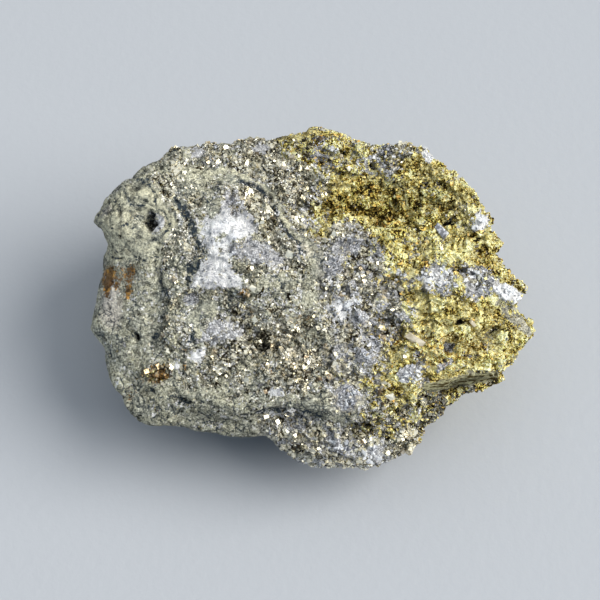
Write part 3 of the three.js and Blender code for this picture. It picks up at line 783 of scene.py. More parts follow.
def reliefTree():
    heights = ("clumpTilt", "hackleTilt", "chipTilt", "chipStep", "seamDepth", "lumpHeight", "gritHeight",
               "foldHeight", "crackDepth", "poreDepth", "pitDepth", "riseHeight", "slateDepth", "mostOut",
               "restHeight")
    given = newTree("oreRelief", {**dict.fromkeys(heights, "Float"), "softenSteps": "Int"})
    soft = put("GeometryNodeBlurAttribute",
               {"Iterations": given["Soften Steps"], "Weight": bodyPlan["softenWeight"],
                "Value": put("GeometryNodeInputPosition")}, data_type="FLOAT_VECTOR")
    softened = put("GeometryNodeSetPosition", {"Geometry": given["Geometry"], "Position": soft["Value"]})
    place = scaled(put("GeometryNodeInputPosition"), 1 / millimetre)
    kept = stored(softened, "seat", place, kind="FLOAT_VECTOR")
    bent = bentPlace(place)
    gold, pyrite, quartz = named("gold"), named("pyrite"), named("quartz")
    fine, slick = named("fine"), named("slick")

    # broken faces of three sizes, steepest where metal is
    rough = 1.0 - slick
    broken = calc("ADD", pyrite, gold, clamped=True) * bodyPlan["metalBreak"]
    broken = broken + quartz * bodyPlan["quartzBreak"] + bodyPlan["rockBreak"]
    broken = broken * (1.0 - fine * 0.8) * rough
    clump = tiltedCells(bent, bodyPlan["clumpSize"]) * given["Clump Tilt"]
    hackle = tiltedCells(bent, bodyPlan["hackleSize"]) * given["Hackle Tilt"]
    chip = tiltedCells(bent, bodyPlan["chipSize"]) * given["Chip Tilt"]
    chipTone = put("ShaderNodeSeparateXYZ", {0: cellsAt(bent, bodyPlan["chipSize"])["Color"]})
    step = (chipTone - 0.5) * given["Chip Step"] * 2.0
    seam = ramp(cellEdges(bent, bodyPlan["chipSize"]), 0.16, 0.0) * given["Seam Depth"]
    height = (clump + hackle + chip + step - seam) * broken

    # lumps and grit, less of them on pure quartz, then folds, cracks, pores, pits and risen spots
    calm = 1.0 - ramp(quartz - named("lilac"), 0.3, 0.8) * 0.75
    lump = noiseAt(place, bodyPlan["lumpSize"], 2.0) - 0.5
    height = height + lump * given["Lump Height"] * 2.0 * calm
    grit = noiseAt(place, bodyPlan["gritSize"], 3.0, 0.6) - 0.5
    height = height + grit * given["Grit Height"] * 2.0 * (rough + 0.08) * calm
    folds = abs(noiseAt(bent, bodyPlan["foldSize"], 2.0) - 0.5)
    height = height - folds * gold * rough * given["Fold Height"] * 4.0
    height = height - crackLines(place, bodyPlan["crackSize"]) * fine * given["Crack Depth"]
    pores = poreSpots(place, bodyPlan["poreSize"]) * given["Pore Depth"]
    height = height - pores * (1.0 - slick) * (1.0 - quartz * 0.9)
    height = height - named("pit") * given["Pit Depth"] - named("slate") * given["Slate Depth"]
    height = height + named("rise") * given["Rise Height"]
    height = calc("SMOOTH_MIN", height, given["Most Out"], 0.3)
    height = height * ramp(heightOf(place), 0.02, given["Rest Height"])
    raised = stored(kept, "height", height)
    outward = scaled(put("GeometryNodeInputNormal"), named("height") * millimetre)
    moved = put("GeometryNodeSetPosition", {"Geometry": raised, "Offset": outward})
    isSmooth = calc("GREATER_THAN", fine + quartz, bodyPlan["smoothFrom"])
    shaded = put("GeometryNodeSetShadeSmooth", {"Geometry": moved, "Shade Smooth": isSmooth})
    return finishTree(shaded, given["Look"])


def dress(piece, tree, plan):
    # runs a node tree on a piece with the plan's settings and keeps the result as its plain mesh
    values = {spaced(key): value for key, value in plan.items()}
    modifier = piece.modifiers.new(tree.name, "NODES")
    modifier.node_group = tree
    for socket in tree.interface.items_tree:
        if socket.in_out == "INPUT" and socket.name in values:
            modifier[socket.identifier] = values[socket.name]
    bakeModifiers(piece)


def bakeModifiers(piece):
    bpy.context.view_layer.update()
    ready = piece.evaluated_get(bpy.context.evaluated_depsgraph_get())
    made = bpy.data.meshes.new_from_object(ready)
    old = piece.data
    piece.modifiers.clear()
    piece.data = made
    bpy.data.meshes.remove(old)


def newPiece(name, mesh):
    piece = bpy.data.objects.new(name, mesh)
    bpy.context.scene.collection.objects.link(piece)
    return piece


def meshFrom(form, name):
    mesh = bpy.data.meshes.new(name)
    form.to_mesh(mesh)
    form.free()
    return mesh


def keepAboveFloor(mesh):
    points = readVectors(mesh, "co")
    points[:, 2] = np.maximum(points[:, 2], 0)
    mesh.vertices.foreach_set("co", points.ravel())
    mesh.update()


def makeBody(look):
    form = bmesh.new()
    form.from_mesh(frame["nodes"][stoneName].data)
    bmesh.ops.remove_doubles(form, verts=form.verts, dist=bodyPlan["mergeWithin"])
    mesh = meshFrom(form, "oreBody")
    mesh.materials.clear()
    body = newPiece("oreBody", mesh)
    remesh = body.modifiers.new("fineGrid", "REMESH")
    remesh.mode = "VOXEL"
    remesh.voxel_size = bodyPlan["voxel"]
    bakeModifiers(body)
    paintZones(body.data)
    print("ore body remeshed and painted:", len(body.data.vertices), "points")
    dress(body, reliefTree(), {**bodyPlan, "look": look})
    thin = body.modifiers.new("thin", "DECIMATE")
    thin.ratio = bodyPlan["keptShare"]
    thin.use_collapse_triangulate = True
    bakeModifiers(body)
    keepAboveFloor(body.data)
    print("ore body roughened and thinned:", len(body.data.polygons), "triangles")
    return body


# ---- the ore's finish

orePlan = {
    "patchiness": 2.4,        # how far patches move the share of a mineral
    "patchSize": 3.4,         # millimetres across the patches of pyrite, and of quartz
    "veinySize": 4.4,
    "crumbSize": 0.55,        # millimetres across the fine grains that pick a mineral
    "speckSize": 0.26,
    "clusterSize": 3.6,
    "crystalSize": 2.6,
    "wideSize": 5.0,          # of the rock's broad, mottled and dusty tones
    "mottleSize": 0.62,
    "dustSize": 0.3,
    "blotchSize": 0.95,
    "hairlineSize": 1.15,
    "cloudSize": 1.7,         # of the quartz's clouds and fibres
    "fibreSize": 0.45,
    "streakSize": 0.5,        # of the slip face
    "veinSize": 0.85,
    "knobSize": 1.7,          # of the rounded knobs the gold is crumpled into
    "creaseSize": 0.62,
    "foldWidth": 1.25,        # between the gold's dark folds, and of its bright and dark clumps
    "clumpWidth": 2.3,
    "goldLift": 0.42,         # raises the share of bright gold and of bright pyrite
    "pyriteLift": 0.065,
    "rockOlive": tint(192, 188, 160),
    "rockGrey": tint(162, 162, 145),
    "rockDark": tint(60, 62, 56),
    "rockLight": tint(240, 236, 212),
    "cream": tint(214, 209, 178),
    "slate": tint(48, 60, 70),
    "pink": tint(206, 196, 184),
    "quartzWhite": tint(245, 243, 235),
    "quartzLilac": tint(180, 179, 180),
    "quartzShade": tint(124, 126, 130),
    "pyritePale": tint(250, 244, 222),
    "pyriteBrass": tint(208, 199, 166),
    "pyriteBrown": tint(62, 54, 40),
    "goldBright": tint(255, 237, 140),
    # painted highlight on the brightest gold
    "goldSpark": tint(255, 247, 190),
    "goldDeep": tint(236, 194, 88),
    "goldDark": tint(54, 43, 12),
    "goldGain": 1.12,
    "rust": tint(204, 148, 60),
    "rustDark": tint(108, 72, 26),
    "slick": tint(158, 154, 118),
    # near black: painted shade inside holes and pores
    "hole": tint(30, 27, 22),
    "lightest": 0.95,
    "metalGloss": 0.32,
    "quartzGloss": 0.34,
    "rockGloss": 0.68,
    "metalShare": 0.45,       # how metallic the sulphides are, the rest being dull film
    "goldShare": -0.25,       # how much less the gold is
    "bump": 0.7,
    "bumpDepth": 0.16,
}


def threeTints(level, dark, middle, light):
    # dark below, light above and middle about a half
    return blend(ramp(level, 0.515, 0.585), blend(ramp(level, 0.375, 0.445), dark, middle), light)


def crumpled(place, size):
    # a crumpled pattern about a half: fine lumps, painted shade along thin creases and broader light and dark
    # clumps
    fine = noiseAt(place, size, 2.0, 0.6) - 0.5
    fold = abs(noiseAt(place, size * 1.6, 1.0) - 0.5)
    broad = noiseAt(place, size * 5, 2.0) - 0.5
    return 0.5 + fine * 0.65 + broad * 0.95 + ramp(fold, 0.0, 0.07, -0.24, 0.045)


def fibreBundles(place):
    # fine fibres that run one way in each crystal, and each crystal's own tone
    crystal = shares(cellsAt(place, orePlan["crystalSize"])["Color"])
    turned = put("ShaderNodeVectorRotate", {"Vector": place, "Angle": crystal[0] * math.pi},
                 rotation_type="Z_AXIS")
    drawn = vector("MULTIPLY", turned, (0.2, 1.4, 0.8))
    return noiseAt(drawn, orePlan["fibreSize"], 3.0, 0.65), ramp(crystal[1], 0.35, 1.0)


def oreLook():
    look = newLook("oreLook")
    seat = bentPlace(put("ShaderNodeAttribute", attribute_name="seat")["Vector"])
    place = objectPlace()
    bent = bentPlace(place)
    crumb = cellsAt(bent, orePlan["crumbSize"])["Color"]
    chipParts = shares(cellsAt(seat, bodyPlan["chipSize"])["Color"])
    crumbParts = shares(crumb)
    clusterParts = shares(cellsAt(seat, orePlan["clusterSize"])["Color"])
    speckParts = shares(cellsAt(place, orePlan["speckSize"])["Color"])
    gold, pyrite, quartz, fine, lilac, slate, cream, rust, pit, tone, slick = (
        attribute(name) for name in ("gold", "pyrite", "quartz", "fine", "lilac", "slate", "cream", "rust",
                                     "pit", "tone", "slick"))

    # every grain takes one mineral, by the shares painted where it lies
    pick = calc("FRACT", clusterParts[0] + chipParts[1] * 0.45 + crumbParts[1] * 0.3)
    patchy = noiseAt(place, orePlan["patchSize"]) - 0.5
    veiny = noiseAt(place, orePlan["veinySize"]) - 0.5
    upToPyrite = gold + pyrite + patchy * pyrite * orePlan["patchiness"]
    upToQuartz = upToPyrite + quartz + veiny * quartz * (1.0 - lilac) * orePlan["patchiness"]
    isGold = ramp(gold - pick, -0.015, 0.015)
    isMetal = ramp(upToPyrite - pick, -0.015, 0.015)
    isLight = ramp(upToQuartz - pick, -0.02, 0.02)
    notGold = 1.0 - isGold
    pure = ramp(quartz - lilac, 0.3, 0.8)

    # rock between the grains: mottled, speckled and crossed by hairlines
    wide = noiseAt(place, orePlan["wideSize"], 4.0)
    mottled = noiseAt(place, orePlan["mottleSize"], 4.0, 0.68)
    mottle = mottled - 0.5
    dust = noiseAt(place, orePlan["dustSize"], 2.0, 0.6)
    bare = 1.0 - cream * 0.85
    rock = blend(ramp(wide, 0.38, 0.62), orePlan["rockGrey"], orePlan["rockOlive"])
    rock = blend(ramp(mottled, 0.47, 0.38, 0, 0.85) * bare, rock, orePlan["rockDark"])
    rock = blend(ramp(mottled, 0.53, 0.62, 0, 0.85) * (1.0 - cream * 0.6), rock, orePlan["rockLight"])
    rock = blend(ramp(dust, 0.45, 0.37, 0, 0.75) * bare, rock, orePlan["rockDark"])
    rock = blend(lilac * 0.7, rock, orePlan["pink"])
    rock = blend(ramp(cream + mottle * 1.2, 0.3, 0.7, 0, 0.8), rock, orePlan["cream"])
    thinLines = crackLines(place, orePlan["hairlineSize"])
    hairline = crackLines(place, bodyPlan["crackSize"]) + thinLines * 0.7
    hairline = hairline * (1.0 - cream * 0.8)
    rock = blend(calc("MULTIPLY", hairline, 0.85, clamped=True), rock, orePlan["slate"])
    blotchy = noiseAt(place, orePlan["blotchSize"], 4.0, 0.62) - 0.5
    stained = ramp(slate * 0.72 + blotchy * 2.4, 0.44, 0.56)
    rock = blend(stained * 0.92, rock, orePlan["slate"])

    # quartz, white to lilac grey, faintly crazed
    clouds = noiseAt(place, orePlan["cloudSize"], 4.0, 0.6)
    greyer = calc("ADD", lilac, (clouds - 0.5) * 1.3, clamped=True)
    quartzTint = blend(greyer, orePlan["quartzWhite"], orePlan["quartzLilac"])
    crazed = (thinLines + ramp(dust, 0.44, 0.34, 0, 0.8)) * (lilac * 0.8 + 0.16)
    quartzTint = blend(crazed, quartzTint, orePlan["quartzShade"])
    fibres, fibreTone = fibreBundles(bent)
    dull = ramp(fibres, 0.52, 0.45) * 0.75 + fibreTone * 0.35
    quartzTint = blend(dull, quartzTint, orePlan["quartzLilac"])
    quartzTint = blend(ramp(fibres, 0.54, 0.6) * lilac, quartzTint, orePlan["quartzWhite"])
    cloudy = ramp(mottled, 0.46, 0.4) * (lilac * 0.75 + 0.05)
    quartzTint = blend(cloudy, quartzTint, orePlan["quartzShade"])

    # pyrite, pale brass with brown grains and painted shade along thin creases
    pits = crumpled(bent, orePlan["crumbSize"])
    facets = (chipParts[0] - 0.5) * 0.26 + (crumbParts[0] - 0.5) * 0.16 + (clusterParts[2] - 0.5) * 0.14
    pyriteLevel = pits + facets + rust * -0.2 + tone * 0.2 + orePlan["pyriteLift"]
    pyriteTint = threeTints(pyriteLevel, orePlan["pyriteBrown"], orePlan["pyriteBrass"],
                            orePlan["pyritePale"])

    # chalcopyrite, crumpled, bright to dark, with painted shade along its folds and knob edges and a painted
    # highlight on the brightest
    creases = crumpled(bent, orePlan["creaseSize"])
    wideFold = abs(noiseAt(bent, orePlan["foldWidth"], 2.0) - 0.5)
    thinFold = abs(noiseAt(place, orePlan["foldWidth"] * 0.4, 1.0) - 0.5)
    # dark lines along the folds: painted shade in the creases
    folds = ramp(wideFold, 0.0, 0.045, -0.46, 0.0) + ramp(thinFold, 0.0, 0.055, -0.4, 0.06)
    knob = shares(cellsAt(bent, orePlan["knobSize"])["Color"])
    # each knob has its own random tone, and its darker edges are painted shade between the knobs
    knobs = (knob[0] - 0.5) * 0.32 + ramp(cellEdges(bent, orePlan["knobSize"]), 0.14, 0.0, 0.02, -0.16)
    clumps = noiseAt(bent, orePlan["clumpWidth"], 1.0) - 0.5
    goldLevel = creases - 0.5 + (crumbParts[2] - 0.5) * 0.1 + (chipParts[2] - 0.5) * 0.12
    goldLevel = goldLevel + knobs + folds + clumps * 1.1
    goldLevel = 0.5 + goldLevel * 1.45 + tone * 0.3 + orePlan["goldLift"]
    goldTint = threeTints(goldLevel, orePlan["goldDark"], orePlan["goldDeep"], orePlan["goldBright"])
    # painted highlight where the gold's level is highest
    goldTint = blend(ramp(goldLevel, 0.76, 0.92), goldTint, orePlan["goldSpark"])
    goldTint = blend(rust * ramp(crumbParts[1], 0.4, 0.8), goldTint, orePlan["rust"])
    goldTint = scaled(goldTint, orePlan["goldGain"])
    colour = blend(isGold, blend(isMetal, blend(isLight, rock, quartzTint), pyriteTint), goldTint)

    # stains, the slip face, and painted shade in holes and pores
    rusty = ramp(rust + mottle * 3.2, 0.5, 0.66) * notGold
    rustTint = blend(ramp(clouds, 0.4, 0.5), orePlan["rust"], orePlan["rustDark"])
    colour = blend(rusty * 0.88, colour, rustTint)
    streaks = noiseAt(vector("MULTIPLY", place, (0.16, 1.1, 1.1)), orePlan["streakSize"])
    slickTint = blend(ramp(streaks, 0.35, 0.62), orePlan["slick"], orePlan["goldDark"])
    colour = blend(slick, colour, slickTint)
    pores = poreSpots(place, bodyPlan["poreSize"]) * (1.0 - slick) * (1.0 - quartz * 0.9)
    # holes and pores carved in the relief are darkened further with painted shade
    hole = ramp(pit + pores * 0.8 + mottle * 2.2, 0.54, 0.7)
    colour = blend(hole, colour, orePlan["hole"])

    # painted shade in the gaps between crumbs and chips and in the relief's hollows, darker thin lines
    # through the metal, and random darker and lighter grains
    vein = abs(noiseAt(place, orePlan["veinSize"], 3.0, 0.6) - 0.5)
    vein = ramp(vein, 0.035, 0.012) * isMetal * 0.8
    # painted shade along the seams between chips and in the gaps between crumbs
    chipGapShade = ramp(cellEdges(seat, bodyPlan["chipSize"]), 0.1, 0.0) * isMetal * notGold * 0.7
    gapShade = ramp(cellEdges(bent, orePlan["crumbSize"]), 0.13, 0.0) * (1.0 - fine) * (1.0 - pure) * 0.85
    speckled = (speckParts[0] - 0.5) * (1.0 - pure * 0.8) * (1.0 - isMetal * 0.5) * 0.7
    # painted shade in the relief's hollows, with less of it on pure quartz
    cavityShade = ramp(attribute("height"), -1.0, 0.3, 0.62, 1.1)
    cavityShade = cavityShade + (1.0 - cavityShade) * pure * 0.8
    shade = 1.06 + speckled + tone * 0.28 * notGold
    dimmed = ramp(chipParts[1], 0.0, 0.3, 0.5, 1.0) + pure * 0.5
    # random darker chips, together with the painted shade of the gaps
    grainToneAndGapShade = calc("MINIMUM", dimmed, 1.0) * (1.0 - gapShade) * (1.0 - vein) * (1.0 - chipGapShade)
    grainToneAndGapShade = grainToneAndGapShade + (1.0 - grainToneAndGapShade) * isGold * 0.7
    colour = vector("MINIMUM", scaled(colour, shade * grainToneAndGapShade * cavityShade), (orePlan["lightest"],) * 3)

    metal = isMetal * (1.0 - calc("MAXIMUM", rusty, hole)) * (1.0 - slick)
    metal = metal * (orePlan["metalShare"] + isGold * orePlan["goldShare"])
    gloss = orePlan["rockGloss"] + isLight * (orePlan["quartzGloss"] - orePlan["rockGloss"])
    gloss = gloss + isMetal * (orePlan["metalGloss"] - orePlan["quartzGloss"])

    # each crumb's face leans its own way
    leanBy = (isMetal * 0.8 + isLight * 0.12 + 0.12) * (1.0 - slick * 0.9)
    surface = put("ShaderNodeNewGeometry")["Normal"]
    leaning = vector("NORMALIZE", vector("ADD", surface, scaled(aboutZero(crumb), leanBy)))
    roughness = mottled + dust * 0.35 + hairline * -0.5 + fibres * isLight * 0.5 + creases * isGold * 1.2
    return finishLook(look, {
        "Base Color": colour,
        "Metallic": metal,
        "Roughness": gloss,
        "Specular IOR Level": 0.1 + isLight * (1.0 - isMetal) * 0.3,
        "Normal": bumpOf(roughness, orePlan["bump"], orePlan["bumpDepth"], {"Normal": leaning}),
    })


# ---- grains: small broken crystals set in the body, thickest where their mineral is painted

chipPlan = {
    "cubeReach": (0.86, 1.0),       # how far a cube's corners stand out, and a shard's corners
    "shardReach": (0.42, 0.56),
    "shardCorners": 9,
    "kinds": 10,                    # different chips in each mineral's store
    "bumpDepth": 0.1,
}


def randomWay(draw):
    return Vector([draw.gauss(0, 1) for _ in range(3)]).normalized()


def boxCorners():
    sides = (-0.5, 0.5)
    return [(x, y, z) for x in sides for y in sides for z in sides]


def chipMesh(name, shape, seed):
    # a broken crystal one unit across: the hull of a few points pushed out from its middle
    draw = random.Random(seed)
    form = bmesh.new()
    if shape == "cube":
        for corner in boxCorners():
            form.verts.new([side * draw.uniform(*chipPlan["cubeReach"]) for side in corner])
    else:
        for _ in range(chipPlan["shardCorners"]):
            form.verts.new(randomWay(draw) * draw.uniform(*chipPlan["shardReach"]))
    bmesh.ops.convex_hull(form, input=form.verts)
    bmesh.ops.recalc_face_normals(form, faces=form.faces)
    return meshFrom(form, name)


def chipStore(name, shape, seed):
    # a hidden collection of chips for a tree to pick from
    store = bpy.data.collections.new(name)
    for index in range(chipPlan["kinds"]):
        chip = chipMesh(f"{name}{index}", shape, seed + index)
        store.objects.link(bpy.data.objects.new(chip.name, chip))
    return store


def emptyStore(store):
    for chip in list(store.objects):
        mesh = chip.data
        bpy.data.objects.remove(chip)
        bpy.data.meshes.remove(mesh)
    bpy.data.collections.remove(store)


def grainTree(name, mineral, clumping):
    sizes = ("spacing", "crowding", "smallest", "largest", "flatness", "lean", "sink", "restHeight")
    given = newTree(name, {**dict.fromkeys(sizes, "Float"), "seed": "Int", "chips": "Collection"})

    def chance(low, high, offset, kind="FLOAT"):
        # a random value for each grain, from the sockets of its kind
        first, last, output = {"FLOAT": (2, 3, 1), "FLOAT_VECTOR": (0, 1, 0), "INT": (4, 5, 2)}[kind]
        return put("FunctionNodeRandomValue", {first: low, last: high, "Seed": given["Seed"] + float(offset)},
                   data_type=kind)[output]

    # where grains are thick: by the mineral's share, and less on fine rock, pits, slip face and floor
    place = scaled(put("GeometryNodeInputPosition"), 1 / millimetre)
    clump = noiseAt(place, clumping, 2.0) - 0.5
    thick = ramp(named(mineral) + clump * 1.4, 0.12, 0.75) * ramp(heightOf(place), given["Rest Height"], 3.0)
    thick = thick * (1.0 - named("slick")) * (1.0 - named("fine") * 0.9)
    thick = thick * (1.0 - calc("MULTIPLY", named("pit"), 1.4, clamped=True))
    thick = thick * ramp(named(mineral), 0.02, 0.1)
    spread = put("GeometryNodeDistributePointsOnFaces",
                 {"Mesh": given["Geometry"], "Distance Min": given["Spacing"],
                  "Density Max": given["Crowding"], "Density Factor": thick, "Seed": given["Seed"]},
                 distribute_method="POISSON")

    # each one's size, seat, shape and turn
    size = chance(0.0, 1.0, 1) ** 1.8
    size = given["Smallest"] + size * (given["Largest"] - given["Smallest"])
    sized = stored(spread["Points"], "grainSize", size)
    sunk = scaled(spread["Normal"], named("grainSize") * given["Sink"] * -1.0)
    seated = put("GeometryNodeSetPosition", {"Geometry": sized, "Offset": sunk})
    chips = put("GeometryNodeCollectionInfo",
                {"Collection": given["Chips"], "Separate Children": True, "Reset Children": True})
    scale = scaled(chance((0.85, 0.6, 0.7), (1.2, 1.05, 1.1), 2, "FLOAT_VECTOR"), named("grainSize"))
    flat = put("ShaderNodeCombineXYZ", {0: 1.0, 1: 1.0, 2: given["Flatness"]})
    turn = chance((-1.0, -1.0, -math.pi), (1.0, 1.0, math.pi), 3, "FLOAT_VECTOR")
    lean = put("ShaderNodeCombineXYZ", {0: given["Lean"], 1: given["Lean"], 2: 1.0})
    turn = put("FunctionNodeEulerToRotation", {0: vector("MULTIPLY", turn, lean)})
    turned = put("FunctionNodeRotateRotation", {"Rotation": spread["Rotation"], "Rotate By": turn},
                 rotation_space="LOCAL")
    grains = put("GeometryNodeInstanceOnPoints",
                 {"Points": seated, "Instance": chips, "Pick Instance": True,
                  "Scale": vector("MULTIPLY", scale, flat), "Rotation": turned,
                  "Instance Index": chance(0, chipPlan["kinds"] - 1, 4, "INT")})
    bunch = ramp(noiseAt(place, clumping * 1.3, 2.0), 0.36, 0.64)
    grains = stored(grains, "shade", chance(0.0, 1.0, 5) * 0.55 + bunch * 0.45, "INSTANCE")
    grains = stored(grains, "warmth", chance(0.0, 1.0, 6), "INSTANCE")
    return finishTree(grains, given["Look"])


def makeGrains(body, plan, look):
    piece = newPiece(plan["name"], body.data.copy())
    store = chipStore(plan["name"] + "Chip", plan["shape"], plan["seed"])
    dress(piece, grainTree(plan["name"] + "Scatter", plan["mineral"], plan["clumping"]), {
        **plan,
        "spacing": plan["spacing"] * millimetre,
        "crowding": plan["crowding"] / millimetre ** 2,
        "smallest": plan["smallest"] * millimetre,
        "largest": plan["largest"] * millimetre,
        "chips": store,
        "look": look,
    })
    emptyStore(store)
    keepAboveFloor(piece.data)
    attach(piece, "root")
    print(plan["name"], "made:", len(piece.data.polygons), "triangles")


def grainLook(name, plan):
    # plain facets of one mineral, each grain with its own tone, with painted shade along thin creases and the
    # body's painted light and shade
    look = newLook(name)
    clouds = crumpled(bentPlace(objectPlace()), plan["cloudSize"])
    level = clouds + (attribute("shade") - 0.5) * -0.36 + attribute("tone") * 0.26
    level = level + attribute("lilac") * -plan["lilacPull"] + plan["lift"]
    colour = threeTints(level, plan["dark"], plan["middle"], plan["light"])
    warm = ramp(attribute("warmth"), 0.8, 0.97) * plan["warmShare"]
    colour = blend(warm, colour, plan["warm"])
    colour = blend(attribute("rust") * ramp(clouds, 0.35, 0.6), colour, orePlan["rust"])
    return finishLook(look, {
        "Base Color": colour,
        "Metallic": plan["metal"],
        "Roughness": plan["gloss"],
        "Specular IOR Level": plan["sheen"],
        "Normal": bumpOf(clouds, plan["bump"], chipPlan["bumpDepth"]),
    })


goldPlan = {
    "name": "chalcopyriteGrains",
    "mineral": "gold",
    "shape": "shard",
    "clumping": 2.6,
    "spacing": 0.6,
    "crowding": 1.2,
    "smallest": 0.4,
    "largest": 1.5,
    "flatness": 0.42,
    "lean": 0.55,
    "sink": 0.12,
    "restHeight": 1.6,
    "seed": 11,
    "light": tint(255, 241, 162),
    "middle": tint(250, 210, 112),
    "dark": tint(60, 49, 14),
    "warm": tint(228, 172, 88),
    "warmShare": 0.7,
    "lilacPull": 0.0,
    "lift": 0.14,
    "cloudSize": 0.62,
    "metal": 0.22,
    "gloss": 0.3,
    "sheen": 0.1,
    "bump": 0.8,
}

pyritePlan = {
    "name": "pyriteGrains",
    "mineral": "pyrite",
    "shape": "cube",
    "clumping": 2.2,
    "spacing": 0.42,
    "crowding": 2.2,
    "smallest": 0.4,
    "largest": 1.25,
    "flatness": 0.8,
    "lean": 0.8,
    "sink": 0.22,
    "restHeight": 1.6,
    "seed": 47,
    "light": tint(248, 242, 218),
    "middle": tint(202, 193, 160),
    "dark": tint(58, 51, 38),
    "warm": tint(206, 178, 144),
    "warmShare": 0.4,
    "lilacPull": 0.0,
    "lift": 0.05,
    "cloudSize": 0.7,
    "metal": 0.55,
    "gloss": 0.26,
    "sheen": 0.15,
    "bump": 0.3,
}

quartzPlan = {
    "name": "quartzGrains",
    "mineral": "quartz",
    "shape": "shard",
    "clumping": 2.0,
    "spacing": 0.5,
    "crowding": 1.8,
    "smallest": 0.4,
    "largest": 1.5,
    "flatness": 0.5,
    "lean": 0.55,
    "sink": 0.14,
    "restHeight": 1.6,
    "seed": 83,
    "light": tint(234, 235, 233),
    "middle": tint(180, 181, 186),
    "dark": tint(104, 106, 111),
    "warm": tint(206, 192, 158),
    "warmShare": 0.8,
    "lilacPull": 0.1,
    "lift": 0.02,
    "cloudSize": 0.9,
    "metal": 0.0,
    "gloss": 0.26,
    "sheen": 0.4,
    "bump": 0.4,
}


# ---- crystals that stand out one by one, each seated on the body where its spot in the frame meets it

crystalPlan = {
    "jitter": 0.3,           # how far a crystal's corners stray, as a share of its size
    "bevel": 0.18,
    "sink": 0.42,            # share of the height below the surface
    "upward": 0.2,           # how far the faces turn from the surface towards the sky
    "seatReach": 1.6,        # millimetres of surface that a seat's slope is taken from
    "shardReach": (0.44, 0.58),
    "shades": {"pale": 0.0, "middle": 0.5, "dim": 0.95},
    "shadeStray": 0.08,
    "marks": ("shade", "warmth", "tone", "rust", "lilac"),    # what a crystal's finish reads
}

# single crystals: middle and turn in the frame, length, width and height in millimetres, shade and warmth
quartzCrystals = [
    ((441, 231), 50, (2.9, 1.7, 0.8), "dim", 0.0),
    ((415, 340), 38, (3.6, 1.4, 0.9), "middle", 1.0),
    ((473, 324), 48, (1.6, 0.7, 0.6), "pale", 1.0),
]

pyriteCrystals = [
    ((290, 255), 20, (1.8, 1.5, 1.2), "pale", 0.0),
    ((252, 288), 40, (1.3, 1.2, 1.1), "pale", 0.0),
    ((390, 397), -15, (1.8, 1.2, 0.7), "pale", 0.0),
    ((305, 214), 30, (1.2, 1.0, 0.9), "pale", 0.0),
]

bunchPlan = {
    "sizes": (0.6, 1.15),    # of a bunch's shards, as shares of its own size, then their widths and heights
    "widths": (0.6, 1),
    "heights": (0.35, 0.6),
    "warmth": 0.85,
    "tone": 0.3,
}

# bunches of shards: middle, half widths and turn in the frame, how many, their size and range of shades
quartzBunches = [
    ((507, 293), (15, 6), 28, 26, 1.9, (0.0, 0.5)),
    ((431, 152), (8, 7), 40, 14, 1.6, (0.0, 0.5)),
    ((478, 222), (7, 6), 0, 12, 1.3, (0.0, 0.6)),
    ((330, 151), (9, 3), -6, 7, 1.2, (0.3, 0.9)),
    ((376, 160), (10, 4), 10, 8, 1.2, (0.3, 0.9)),
    ((434, 275), (15, 9), -8, 22, 1.3, (0.2, 0.9)),
    ((446, 286), (11, 7), -8, 14, 1.4, (0.5, 1.0)),
    ((480, 279), (15, 12), 20, 24, 1.3, (0.2, 1.0)),
    ((410, 374), (13, 9), -20, 18, 1.3, (0.0, 0.8)),
    ((397, 151), (16, 7), 4, 22, 1.2, (0.1, 1.0)),
    ((394, 273), (12, 9), 20, 14, 1.1, (0.0, 0.8)),
    ((367, 350), (9, 13), 20, 12, 1.6, (0.3, 1.0)),
    ((348, 398), (10, 12), 20, 14, 1.5, (0.2, 1.0)),
    ((346, 306), (18, 9), -20, 22, 1.2, (0.0, 0.7)),
    ((372, 455), (10, 9), 20, 14, 1.6, (0.0, 0.8)),
    ((340, 444), (14, 9), 10, 18, 1.4, (0.2, 1.0)),
]

pyriteBunches = [
    ((177, 171), (7, 12), -28, 24, 1.5, (0.0, 0.15)),
    ((252, 200), (8, 10), -20, 20, 1.2, (0.0, 0.3)),
    ((192, 190), (8, 4), 20, 9, 0.9, (0.0, 0.4)),
    ((408, 440), (10, 11), 30, 22, 1.2, (0.0, 0.4)),
]


def seatFor(ground, place, turn):
    # where a spot of the frame meets the body, with a long, a cross and an outward axis to build on there
    right, up, back = cameraAxes()
    scale, half = cameraScale()
    way = right * ((place[0] - half) / scale) - up * ((place[1] - half) / scale) - back
    seat = ground.ray_cast(cameraSpot(), way.normalized())[0]
    if seat is None:
        return None
    outward = Vector((0, 0, 0))
    for _, normal, _, _ in ground.find_nearest_range(seat, crystalPlan["seatReach"] * millimetre):
        outward += normal
    outward = (outward.normalized() + back * crystalPlan["upward"]).normalized()
    turn = math.radians(turn)
    length = right * math.cos(turn) - up * math.sin(turn)
    length = (length - outward * length.dot(outward)).normalized()
    return seat, length, outward.cross(length), outward


def blockCorners():
    # a block whose upper edges are bevelled
    bevel = crystalPlan["bevel"]
    for x, y, z in boxCorners():
        inset = 1 - (bevel * 2 if z > 0 else 0)
        yield x * inset, y * inset, z
        if z > 0:
            yield x, y, z - bevel


